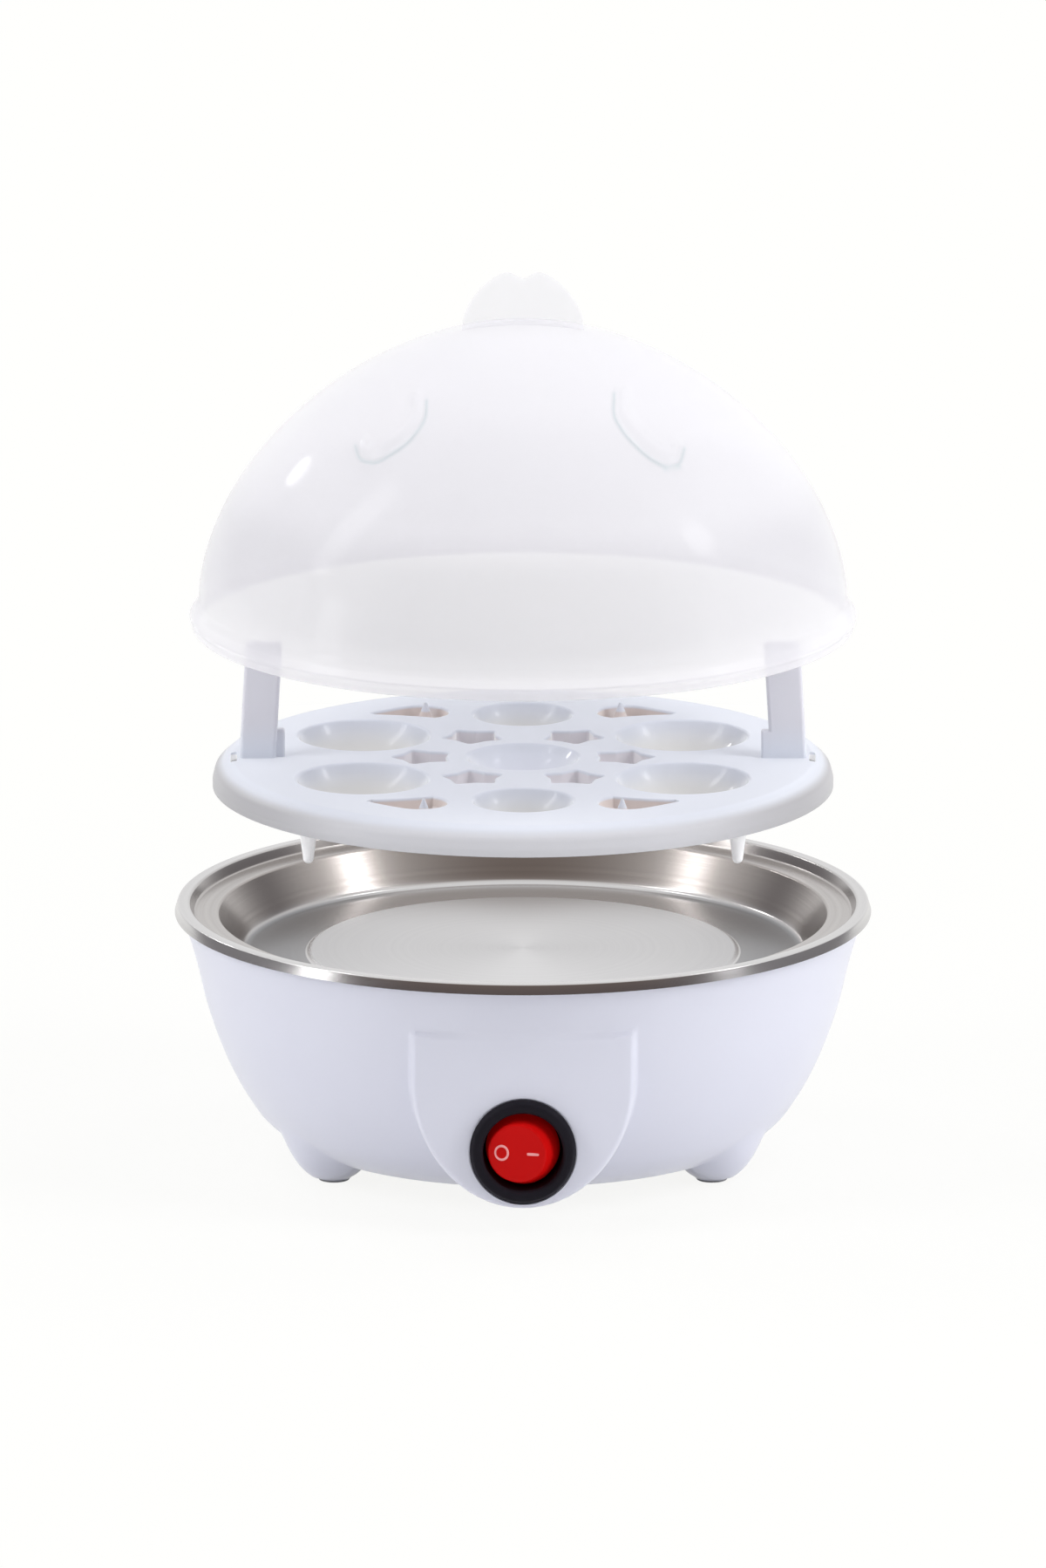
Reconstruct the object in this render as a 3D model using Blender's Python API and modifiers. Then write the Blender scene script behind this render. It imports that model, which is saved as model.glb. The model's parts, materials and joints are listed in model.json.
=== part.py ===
"""Electric egg cooker for seven eggs, modelled piece by piece.

The white base holds a steel heating bowl, its heater and one rocker switch. The egg tray and the
clear lid are shown lifted off, one above the other, on the cooker's vertical axis.
The origin is on the table under the middle of the base, +Z is up and the switch faces -Y.
All sizes are in metres and all angles in degrees.
"""
import math

import bmesh
import bpy
import numpy as np
from mathutils import Matrix, Vector

# Fits and facets
CLEARANCE = 0.0003
OVERRUN = 0.0040
WELD_DISTANCE = 0.000001
ROUND_STEPS = 40
CUP_STEPS = 18
SMALL_STEPS = 10
CUP_RINGS = 3
SWITCH_STEPS = 28

# Base housing: a moulded bowl-shaped shell with a lip that tucks under the steel rim
BASE_HEIGHT = 0.0596
RIM_OVERHANG = 0.0018
RIM_BAND = 0.0020
BODY_BOTTOM_RADIUS = 0.0515
BODY_BOTTOM = 0.0048
HOUSING_WALL = 0.0022
LIP_WALL = 0.0008
SHELF_WIDTH = 0.0042
SHELF_THICKNESS = 0.0022
BODY_CURVE_SHARES = ((0.0, 0.0), (0.055, 0.139), (0.11, 0.251), (0.196, 0.386), (0.31, 0.528),
                     (0.442, 0.628), (0.60, 0.75), (0.80, 0.875), (1.0, 1.0))

# Steel bowl: drawn sheet with a rolled rim, a ledge for the lid and a raised heating disc
SHEET = 0.0006
RIM_FACE = 0.0034
RECESS_DEPTH = 0.0025
RECESS_DRAFT = 0.0012
LEDGE_WIDTH = 0.0050
BOWL_SLOPE = 0.0060
FLOOR_CHANNEL = 0.0146
FLOOR_DEPTH = 0.0120
FLOOR_FILLET = 0.0014
DISC_RADIUS = 0.0498
DISC_RISE = 0.0008
DISC_STEP = 0.0012

# Silicone ring between the bowl's ledge and the housing's shelf
SEAL_THICKNESS = 0.0009
SEAL_WIDTH = 0.0034

# Bulb feet with rubber pads
FOOT_ANGLES = (90.0, 210.0, 330.0)
FOOT_INSET = 0.0015
FOOT_RADIUS = 0.0093
FOOT_CUT = 0.0010
FOOT_HOLLOW_RISE = 0.0021
FOOT_MOUTH_RADIUS = 0.0058
PAD_RADIUS = 0.0036
PAD_THICKNESS = 0.0022
PAD_STAND = 0.0006

# Switch boss: a U-shaped pad on the front of the housing, its face slightly curved and leaning
BOSS_HALF_WIDTH = 0.0254
BOSS_DROP = 0.0285
BOSS_BELOW_SWITCH = 0.0136
BOSS_BELOW_BODY = 0.0053
BOSS_SETBACK = 0.0027
BOSS_FACE_RADIUS = 0.1100
BOSS_LEAN = 1.2
BOSS_LENGTH = 0.0305
BOSS_ARC_POINTS = 15

# Round rocker switch for a 20 mm panel hole
SWITCH_HEIGHT = 0.0196
SWITCH_SEAT_DEPTH = 0.0007
BEZEL_RADIUS = 0.0121
BEZEL_THICKNESS = 0.0022
BEZEL_BEVEL = 0.0012
BARREL_RADIUS = 0.0098
BARREL_DEPTH = 0.0180
ROCKER_WELL_RADIUS = 0.0089
ROCKER_WELL_DEPTH = 0.0150
ROCKER_FACE_RADIUS = 0.0069
ROCKER_BASE_RADIUS = 0.0083
ROCKER_ARM = 0.0068
ROCKER_SKIRT = 0.0010
ROCKER_VALLEY = 0.0004
ROCKER_TILT = 12.0
PIVOT_DEPTH = 0.0063
PIVOT_RADIUS = 0.0012
PIVOT_REACH = 0.0095
PLUNGER_RADIUS = 0.0012
CONTACT_WIDTH = 0.0030
CONTACT_SHEET = 0.0008
CONTACT_SPAN = 0.0130
TERMINAL_OFFSET = 0.0050
BLADE_WIDTH = 0.0048
BLADE_THICKNESS = 0.0008
BLADE_REACH = 0.0075

# Supply inlet in the back wall
INLET_HEIGHT = 0.0200
INLET_PAD_RADIUS = 0.0080
INLET_STAND = 0.0046
INLET_LENGTH = 0.0135
INLET_WALL = 0.0022
GLAND_FLANGE_RADIUS = 0.0072
GLAND_FLANGE = 0.0025
GLAND_NECK_RADIUS = 0.0047
GLAND_BARB_RADIUS = 0.0055
GLAND_BARB = 0.0020
GLAND_BORE_RADIUS = 0.0036

# Bottom cover, its screws and the posts that take them
COVER_THICKNESS = 0.0020
COVER_RECESS = 0.0002
COVER_POST_ANGLES = (20.0, 160.0, 240.0, 300.0)
COVER_POST_INSET = 0.0063
COVER_POST_RADIUS = 0.0036
COVER_POST_LENGTH = 0.0170
RIB_THICKNESS = 0.0018
VENT_COUNT = 7
VENT_PITCH = 0.0060
VENT_LENGTH = 0.0260
VENT_WIDTH = 0.0022

# Screws
COVER_SCREW_RADIUS = 0.0014
COVER_SCREW_HEAD_RADIUS = 0.0028
COVER_SCREW_HEAD = 0.0014
COVER_SCREW_LENGTH = 0.0100
M4_RADIUS = 0.0019
M4_HEAD_RADIUS = 0.0035
M4_HEAD = 0.0022
CLAMP_SCREW_LENGTH = 0.0064
BRACKET_SCREW_RADIUS = 0.0015
BRACKET_SCREW_HEAD_RADIUS = 0.0030
BRACKET_SCREW_HEAD = 0.0020
BRACKET_SCREW_LENGTH = 0.0062
SLOT_WIDTH = 0.0008
SLOT_DEPTH = 0.0008

# Lugs on the wall and the steel brackets that tie the bowl down to them
LUG_DROP = 0.0076
LUG_THICKNESS = 0.0030
LUG_HALF_WIDTH = 0.0060
BRACKET_SHEET = 0.0010
BRACKET_WIDTH = 0.0100
BRACKET_GAP = 0.0040
BRACKET_INSET = 0.0054
BRACKET_FOOT_END = 0.0035
BRACKET_SCREW_GAP = 0.0012

# Heater: cast plate, ring element, clamping spider, thermostat
PLATE_INSET = 0.0023
PLATE_THICKNESS = 0.0048
PLATE_EDGE = 0.0008
ELEMENT_INSET = 0.0115
ELEMENT_RADIUS = 0.0033
ELEMENT_DROP = 0.0005
ELEMENT_GAP_ANGLE = 15.0
ELEMENT_LEG = 0.0095
ELEMENT_BEND = 0.0050
ELEMENT_ARC_POINTS = 34
CLAMP_ANGLES = (30.0, 150.0, 270.0)
CLAMP_INSET = 0.0110
CLAMP_BOSS_RADIUS = 0.0050
SPIDER_SHEET = 0.0012
SPIDER_HUB_RADIUS = 0.0160
SPIDER_ARM_WIDTH = 0.0120
SPIDER_END = 0.0030
THERMOSTAT_DISC_RADIUS = 0.0080
THERMOSTAT_BODY_RADIUS = 0.0060
THERMOSTAT_BODY_DEPTH = 0.0075
THERMOSTAT_BLADE_DROP = 0.0050

# Thermal fuse clipped under one arm of the spider
FUSE_ANGLE = 150.0
FUSE_INSET = 0.0015
FUSE_RADIUS = 0.0020
FUSE_LENGTH = 0.0120
CLIP_SHEET = 0.0006
CLIP_WIDTH = 0.0050
CLIP_TAB = 0.0052
FUSE_SCREW_RADIUS = 0.0011
FUSE_SCREW_HEAD_RADIUS = 0.0021
FUSE_SCREW_HEAD = 0.0013
FUSE_SCREW_LENGTH = 0.0024

# Terminal block on the bottom cover
BLOCK_LENGTH = 0.0180
BLOCK_DEPTH = 0.0090
BLOCK_HEIGHT = 0.0100
BLOCK_SETBACK = 0.0050
BLOCK_PORT_OFFSET = 0.0045
BLOCK_PORT_RADIUS = 0.0021
BLOCK_PORT_DEPTH = 0.0030

# Inner leads
LEAD_RADIUS = 0.0010
LEAD_SLEEVE_RADIUS = 0.0017
LEAD_POINTS = 13
LEAD_RUN_SHARE = 1.5

# Egg tray: flanged plate, cups and holes, two grips and four legs
TRAY_LIFT = 0.0298
TRAY_BEARING = 0.0008
TRAY_FLANGE = 0.0052
TRAY_SKIRT = 0.0064
TRAY_SHOULDER = 0.0024
TRAY_WALL = 0.0018
CUP_INSET = 0.0238
CUP_RADIUS = 0.0153
CUP_DEPTH = 0.0100
SMALL_CUP_RADIUS = 0.0116
SMALL_CUP_DEPTH = 0.0080
DISH_RADIUS = 0.0131
DISH_DEPTH = 0.0065
CUP_WALL = 0.0014
SIDE_CUP_ANGLES = (30.0, 150.0, 210.0, 330.0)
SMALL_CUP_ANGLES = (90.0, 270.0)
STAR_ANGLES = (0.0, 60.0, 120.0, 180.0, 240.0, 300.0)
STAR_SHIFT = 0.0019
STAR_RADIUS = 0.0068
STAR_WAIST_SHARE = 0.52
POCKET_INSET = 0.0158
POCKET_RADIUS = 0.0058
POCKET_TIP_RADIUS = 0.0006
POCKET_TIP_SHIFT = 0.0048
POCKET_START = 63.8
POCKET_SWEEP = 15.0
POCKET_DEPTH = 0.0030
POCKET_STEPS = 5
SPIKE_RADIUS = 0.0013
GRIP_WIDTH = 0.0074
GRIP_THICKNESS = 0.0036
GRIP_HEIGHT = 0.0270
GRIP_INSET = 0.0018
GRIP_LEAN = 0.0013
GRIP_SLOT_WIDTH = 0.0034
GRIP_SLOT_LENGTH = 0.0150
GRIP_RIB_THICKNESS = 0.0018
GRIP_RIB_HEIGHT = 0.0065
LEG_ANGLES = (38.65, 141.35, 218.65, 321.35)
LEG_INSET = 0.0018
LEG_LENGTH = 0.0156
LEG_RADIUS = 0.0018
LEG_TIP_RADIUS = 0.0010

# Lid: thin dome with a bead at its edge and a fin handle
LID_LIFT = 0.0669
LID_WALL = 0.0011
LID_HEIGHT = 0.0710
LID_SHOULDER_HEIGHT = 0.0064
LID_EDGE_GAP = 0.0004
LID_BEAD_GAP = 0.0006
LID_SHOULDER_INSET = 0.0003
LID_BEAD_SHARES = ((0.0, 0.0), (0.6, 0.10), (1.0, 0.25), (0.95, 0.42), (0.35, 0.62))
DOME_EXPONENT = 1.8
DOME_POINTS = 11
HANDLE_HALF_WIDTH = 0.0139
HANDLE_HEIGHT = 0.0118
HANDLE_THICKNESS = 0.0060
HANDLE_NOTCH_DEPTH = 0.0013
HANDLE_NOTCH_WIDTH = 0.0028
HANDLE_POINTS = 25

# Radii and distances that follow from the sizes above, from the heating disc outwards
FLOOR_RADIUS = DISC_RADIUS + FLOOR_CHANNEL
LEDGE_INNER_RADIUS = FLOOR_RADIUS + BOWL_SLOPE
LEDGE_OUTER_RADIUS = LEDGE_INNER_RADIUS + LEDGE_WIDTH
RECESS_RADIUS = LEDGE_OUTER_RADIUS + RECESS_DRAFT
RIM_RADIUS = RECESS_RADIUS + RIM_FACE
BODY_TOP_RADIUS = RIM_RADIUS - RIM_OVERHANG
SHELF_RADIUS = LEDGE_OUTER_RADIUS - SHELF_WIDTH
FOOT_CIRCLE_RADIUS = BODY_BOTTOM_RADIUS - FOOT_INSET
COVER_OPENING_RADIUS = BODY_BOTTOM_RADIUS - HOUSING_WALL
COVER_POST_CIRCLE_RADIUS = COVER_OPENING_RADIUS - COVER_POST_INSET
BOSS_FACE = BODY_TOP_RADIUS - BOSS_SETBACK
BOSS_ROOT = BOSS_FACE - BOSS_LENGTH
PLATE_RADIUS = DISC_RADIUS - PLATE_INSET
ELEMENT_RING_RADIUS = PLATE_RADIUS - ELEMENT_INSET
CLAMP_CIRCLE_RADIUS = ELEMENT_RING_RADIUS - CLAMP_INSET
FUSE_CIRCLE_RADIUS = ELEMENT_RING_RADIUS - FUSE_INSET
FUSE_SCREW_CIRCLE_RADIUS = FUSE_CIRCLE_RADIUS + FUSE_RADIUS + CLEARANCE + CLIP_SHEET + CLIP_TAB / 2
SPIDER_REACH = FUSE_SCREW_CIRCLE_RADIUS + SPIDER_END
BLOCK_BACK = ELEMENT_RING_RADIUS - BLOCK_SETBACK
BRACKET_INNER = PLATE_RADIUS + BRACKET_GAP
BRACKET_BEND = FLOOR_RADIUS - BRACKET_INSET
LUG_INNER = BRACKET_BEND + BRACKET_SHEET
TRAY_RADIUS = LEDGE_INNER_RADIUS + TRAY_BEARING
TRAY_PLATE_RADIUS = TRAY_RADIUS - TRAY_FLANGE
CUP_CIRCLE_RADIUS = TRAY_PLATE_RADIUS - CUP_INSET
STAR_CIRCLE_RADIUS = CUP_CIRCLE_RADIUS / 2 + STAR_SHIFT
POCKET_CIRCLE_RADIUS = TRAY_PLATE_RADIUS - POCKET_INSET
GRIP_OUTER = TRAY_PLATE_RADIUS - GRIP_INSET
LEG_CIRCLE_RADIUS = FLOOR_RADIUS - LEG_INSET
LID_EDGE_RADIUS = LEDGE_OUTER_RADIUS - LID_EDGE_GAP
LID_BEAD_RADIUS = RECESS_RADIUS - LID_BEAD_GAP
LID_SHOULDER_RADIUS = LID_EDGE_RADIUS - LID_SHOULDER_INSET

# Heights that follow from the sizes above, measured from the table
BAND_BOTTOM = BASE_HEIGHT - RIM_BAND
BODY_TOP = BAND_BOTTOM - CLEARANCE
LIP_TOP = BASE_HEIGHT - SHEET - CLEARANCE
LEDGE_HEIGHT = BASE_HEIGHT - RECESS_DEPTH
FLOOR_HEIGHT = BASE_HEIGHT - FLOOR_DEPTH
DISC_HEIGHT = FLOOR_HEIGHT + DISC_RISE
SEAL_TOP = LEDGE_HEIGHT - SHEET - CLEARANCE
SHELF_TOP = SEAL_TOP - SEAL_THICKNESS - CLEARANCE
BOSS_BOTTOM = SWITCH_HEIGHT - BOSS_BELOW_SWITCH
BOSS_TOP = BODY_TOP - BOSS_BELOW_BODY
FOOT_FLAT = PAD_STAND
FOOT_CENTRE = FOOT_FLAT + FOOT_RADIUS - FOOT_CUT
COVER_BOTTOM = BODY_BOTTOM + COVER_RECESS
COVER_TOP = COVER_BOTTOM + COVER_THICKNESS
COVER_POST_TOP = COVER_TOP + COVER_POST_LENGTH
PLATE_TOP = DISC_HEIGHT - SHEET - CLEARANCE
PLATE_BOTTOM = PLATE_TOP - PLATE_THICKNESS
ELEMENT_HEIGHT = PLATE_BOTTOM - ELEMENT_DROP
SPIDER_TOP = ELEMENT_HEIGHT - ELEMENT_RADIUS - CLEARANCE
SPIDER_BOTTOM = SPIDER_TOP - SPIDER_SHEET
LUG_TOP = FLOOR_HEIGHT - LUG_DROP
LUG_BOTTOM = LUG_TOP - LUG_THICKNESS
SEAT_FACE = BOSS_FACE - SWITCH_SEAT_DEPTH
BEZEL_BACK = SEAT_FACE + CLEARANCE
BEZEL_FRONT = BEZEL_BACK + BEZEL_THICKNESS
PIVOT_FACE = BEZEL_FRONT - PIVOT_DEPTH
WELL_FLOOR = BEZEL_FRONT - ROCKER_WELL_DEPTH
BARREL_END = BEZEL_BACK - BARREL_DEPTH
TRAY_TOP = LEDGE_HEIGHT + CLEARANCE + TRAY_SKIRT + TRAY_LIFT
LID_BASE = LEDGE_HEIGHT + CLEARANCE + LID_LIFT


def clear_scene():
    """Remove every object, so the script gives the same model each time it runs."""
    for obj in list(bpy.data.objects):
        bpy.data.objects.remove(obj, do_unlink=True)


def new_collection(name):
    """Make a collection under the scene, or reuse the one of that name."""
    collection = bpy.data.collections.get(name) or bpy.data.collections.new(name)
    if name not in bpy.context.scene.collection.children:
        bpy.context.scene.collection.children.link(collection)
    return collection


def new_material(name, colour, roughness, metallic=0.0, alpha=1.0):
    """Make a plain Principled material."""
    material = bpy.data.materials.new(name)
    material.use_nodes = True
    shader = material.node_tree.nodes["Principled BSDF"]
    shader.inputs["Base Color"].default_value = (*colour, 1.0)
    shader.inputs["Roughness"].default_value = roughness
    shader.inputs["Metallic"].default_value = metallic
    shader.inputs["Alpha"].default_value = alpha
    return material


def add_object(name, mesh, collection, material=None):
    """Put a mesh into the scene under a name."""
    obj = bpy.data.objects.new(name, mesh)
    collection.objects.link(obj)
    if material:
        mesh.materials.append(material)
    if collection.name == "cutters":
        obj.hide_render = True
        obj.display_type = "WIRE"
    return obj


def smooth(obj, angle=35.0):
    """Shade a round piece smooth, keeping its real edges sharp."""
    obj.data.shade_smooth()
    obj.data.set_sharp_from_angle(angle=math.radians(angle))
    return obj


def polar(radius, degrees, height=0.0):
    """Point at a radius, a compass angle from +X and a height."""
    angle = math.radians(degrees)
    return Vector((radius * math.cos(angle), radius * math.sin(angle), height))


def body_radius(height):
    """Outer radius of the housing at a height above the table."""
    heights = [share for share, _ in BODY_CURVE_SHARES]
    flares = [share for _, share in BODY_CURVE_SHARES]
    share = (height - BODY_BOTTOM) / (BODY_TOP - BODY_BOTTOM)
    flare = float(np.interp(share, heights, flares))
    return BODY_BOTTOM_RADIUS + flare * (BODY_TOP_RADIUS - BODY_BOTTOM_RADIUS)


def body_outline(low, high):
    """Outline of the housing's outside between two heights, from the top down."""
    span = BODY_TOP - BODY_BOTTOM
    heights = [BODY_BOTTOM + share * span for share, _ in BODY_CURVE_SHARES]
    inside = [height for height in heights if low < height < high]
    return [(body_radius(height), height) for height in sorted({low, high, *inside}, reverse=True)]


def inlet_face():
    """Distance from the axis to the outer face of the supply inlet's pad."""
    return body_radius(INLET_HEIGHT) + INLET_STAND


def bracket_screw_circle():
    """Radius at which the bracket screws stand, their heads just clear of the housing's wall."""
    head_bottom = LUG_BOTTOM - CLEARANCE - BRACKET_SCREW_HEAD
    wall = body_radius(head_bottom) - HOUSING_WALL
    return wall - BRACKET_SCREW_GAP - BRACKET_SCREW_HEAD_RADIUS


def offset_outline(points, distance):
    """Move an open outline sideways, to the right of its direction, with mitred corners."""
    directions = []
    for start, end in zip(points, points[1:]):
        directions.append(Vector((end[0] - start[0], end[1] - start[1])).normalized())
    moved = []
    for index, point in enumerate(points):
        before = directions[max(index - 1, 0)]
        after = directions[min(index, len(directions) - 1)]
        normal = Vector((before.y + after.y, -before.x - after.x)).normalized()
        reach = distance / max(normal.dot(Vector((after.y, -after.x))), 0.5)
        moved.append((point[0] + normal.x * reach, point[1] + normal.y * reach))
    return moved


def sheet_outline(points, thickness):
    """Close an open outline into the section of a sheet of even thickness, from axis to axis."""
    back = offset_outline(points, thickness)
    back[0] = (0.0, back[0][1])
    return list(points) + back[::-1]


def turned(name, outline, collection, material=None, steps=ROUND_STEPS, closed=False):
    """Turn an outline of (radius, height) points round the Z axis with a Screw modifier."""
    mesh = bpy.data.meshes.new(name)
    vertices = [(radius, 0.0, height) for radius, height in outline]
    edges = [(index, index + 1) for index in range(len(outline) - 1)]
    if closed:
        edges.append((len(outline) - 1, 0))
    mesh.from_pydata(vertices, edges, [])
    obj = add_object(name, mesh, collection, material)
    screw = obj.modifiers.new("turn", "SCREW")
    screw.steps = steps
    screw.render_steps = steps
    screw.use_merge_vertices = True
    screw.merge_threshold = WELD_DISTANCE
    screw.use_smooth_shade = False
    return obj


def freeze(obj):
    """Replace an object's mesh by its evaluated one, so it can be shaded or copied."""
    bpy.context.view_layer.update()
    evaluated = obj.evaluated_get(bpy.context.evaluated_depsgraph_get())
    mesh = bpy.data.meshes.new_from_object(evaluated)
    mesh.name = obj.name
    obj.modifiers.clear()
    obj.data = mesh
    return obj


def box(name, low, high, collection, material=None, matrix=None):
    """Box between two corners, turned or moved by a matrix."""
    low = Vector(low)
    high = Vector(high)
    size = high - low
    shape = bmesh.new()
    bmesh.ops.create_cube(shape, size=1.0)
    bmesh.ops.scale(shape, vec=size, verts=shape.verts)
    bmesh.ops.translate(shape, vec=(low + high) / 2, verts=shape.verts)
    if matrix:
        bmesh.ops.transform(shape, matrix=matrix, verts=shape.verts)
    mesh = bpy.data.meshes.new(name)
    shape.to_mesh(mesh)
    shape.free()
    return add_object(name, mesh, collection, material)


def cylinder(name, radius, start, end, collection, material=None, steps=SMALL_STEPS, tip=None):
    """Cylinder, or cone where tip is given, from one centre point to another."""
    start = Vector(start)
    end = Vector(end)
    axis = end - start
    shape = bmesh.new()
    bmesh.ops.create_cone(shape, cap_ends=True, segments=steps, radius1=radius,
                          radius2=radius if tip is None else tip, depth=axis.length)
    turn = Vector((0.0, 0.0, 1.0)).rotation_difference(axis).to_matrix().to_4x4()
    place = Matrix.Translation((start + end) / 2) @ turn
    bmesh.ops.transform(shape, matrix=place, verts=shape.verts)
    mesh = bpy.data.meshes.new(name)
    shape.to_mesh(mesh)
    shape.free()
    return add_object(name, mesh, collection, material)


def ball(name, radius, centre, collection, steps=SMALL_STEPS):
    """Ball made as a UV sphere."""
    shape = bmesh.new()
    bmesh.ops.create_uvsphere(shape, u_segments=steps, v_segments=steps // 2, radius=radius)
    bmesh.ops.translate(shape, vec=centre, verts=shape.verts)
    mesh = bpy.data.meshes.new(name)
    shape.to_mesh(mesh)
    shape.free()
    return add_object(name, mesh, collection)


def curve_to_mesh(curve_object, collection, material=None):
    """Make a curve object a welded mesh of the same name and place."""
    bpy.context.view_layer.update()
    evaluated = curve_object.evaluated_get(bpy.context.evaluated_depsgraph_get())
    mesh = bpy.data.meshes.new_from_object(evaluated)
    mesh.materials.clear()
    name = curve_object.name
    matrix = curve_object.matrix_world.copy()
    bpy.data.objects.remove(curve_object, do_unlink=True)
    shape = bmesh.new()
    shape.from_mesh(mesh)
    bmesh.ops.remove_doubles(shape, verts=shape.verts, dist=WELD_DISTANCE)
    bmesh.ops.recalc_face_normals(shape, faces=shape.faces)
    shape.to_mesh(mesh)
    shape.free()
    obj = add_object(name, mesh, collection, material)
    obj.matrix_world = matrix
    return obj


def prism(name, outline, thickness, matrix, collection, material=None):
    """Flat outline as a filled 2D curve, extruded to a thickness about its own plane."""
    curve = bpy.data.curves.new(name, "CURVE")
    curve.dimensions = "2D"
    curve.fill_mode = "BOTH"
    curve.extrude = thickness / 2
    spline = curve.splines.new("POLY")
    spline.points.add(len(outline) - 1)
    for point, (across, along) in zip(spline.points, outline):
        point.co = (across, along, 0.0, 1.0)
    spline.use_cyclic_u = True
    obj = bpy.data.objects.new(name, curve)
    collection.objects.link(obj)
    obj.matrix_world = matrix
    made = curve_to_mesh(obj, collection, material)
    made.data.transform(made.matrix_world)
    made.matrix_world = Matrix.Identity(4)
    return made


def upright_plane(degrees=0.0, offset=(0.0, 0.0, 0.0)):
    """Matrix that stands a flat outline up: its x runs outwards at an angle, its y runs up."""
    turn = Matrix.Rotation(math.radians(degrees), 4, "Z") @ Matrix.Rotation(math.pi / 2, 4, "X")
    return turn @ Matrix.Translation(offset)


def smooth_path(points, count):
    """Points along a Catmull-Rom curve through the route's own points."""
    knots = [Vector(point) for point in points]
    knots = [2 * knots[0] - knots[1]] + knots + [2 * knots[-1] - knots[-2]]
    path = []
    for step in range(count):
        place = step / (count - 1) * (len(knots) - 3)
        index = min(int(place), len(knots) - 4)
        t = place - index
        a, b, c, d = knots[index:index + 4]
        path.append(0.5 * (2 * b + (c - a) * t + (2 * a - 5 * b + 4 * c - d) * t ** 2
                           + (3 * b - a - 3 * c + d) * t ** 3))
    return path


def tube(name, path, radius, collection, material, swell=()):
    """Round bar or wire along a path, with closed ends and a swollen first and last stretch."""
    curve = bpy.data.curves.new(name, "CURVE")
    curve.dimensions = "3D"
    curve.bevel_depth = radius
    curve.bevel_resolution = 2
    curve.use_fill_caps = True
    spline = curve.splines.new("POLY")
    spline.points.add(len(path) - 1)
    for point, place in zip(spline.points, path):
        point.co = (*place, 1.0)
    for index, factor in swell:
        spline.points[index].radius = factor
    obj = bpy.data.objects.new(name, curve)
    collection.objects.link(obj)
    return curve_to_mesh(obj, collection, material)


def combine(obj, others, operation):
    """Add, cut or cross an object with others, one Boolean modifier each."""
    for other in others:
        modifier = obj.modifiers.new(other.name, "BOOLEAN")
        modifier.operation = operation
        modifier.solver = "EXACT"
        modifier.object = other
    return obj


def boss_outline(inset=0.0):
    """U outline of the switch boss: straight sides over half an ellipse, open sides rounded."""
    across = BOSS_HALF_WIDTH - inset
    drop = BOSS_DROP - inset
    centre = BOSS_BOTTOM + BOSS_DROP
    top = BOSS_TOP - inset
    outline = [(across, top)]
    for step in range(BOSS_ARC_POINTS):
        angle = math.pi * step / (BOSS_ARC_POINTS - 1)
        outline.append((across * math.cos(angle), centre - drop * math.sin(angle)))
    outline.append((-across, top))
    return outline


def boss_solid(name, inset, cutters):
    """Switch boss as its U outline crossed with the large leaning cylinder of its face."""
    depth = BOSS_FACE + OVERRUN - BOSS_ROOT
    middle = (BOSS_FACE + OVERRUN + BOSS_ROOT) / 2
    solid = prism(name, boss_outline(inset), depth, upright_plane(offset=(0.0, 0.0, middle)), cutters)
    centre = Vector((0.0, BOSS_FACE_RADIUS - BOSS_FACE, SWITCH_HEIGHT))
    lean = math.radians(BOSS_LEAN)
    half = Vector((0.0, math.sin(lean), math.cos(lean))) * BASE_HEIGHT
    face = cylinder(name + "_face", BOSS_FACE_RADIUS - inset, centre - half, centre + half, cutters,
                    steps=2 * ROUND_STEPS)
    return freeze(combine(solid, [face], "INTERSECT"))


def front_cylinder(name, radius, near, far, height, collection, material=None, steps=SMALL_STEPS,
                   across=0.0):
    """Cylinder along Y between two distances in front of the axis."""
    return cylinder(name, radius, (across, -near, height), (across, -far, height), collection,
                    material, steps)


def rib_outline(inner, low, high):
    """Outline, in a plane through the axis, of a rib from a radius to the middle of the wall."""
    middle = HOUSING_WALL / 2
    wall = [(radius - middle, height) for radius, height in body_outline(low, high)]
    return [(inner, low)] + wall[::-1] + [(inner, high)]


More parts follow.
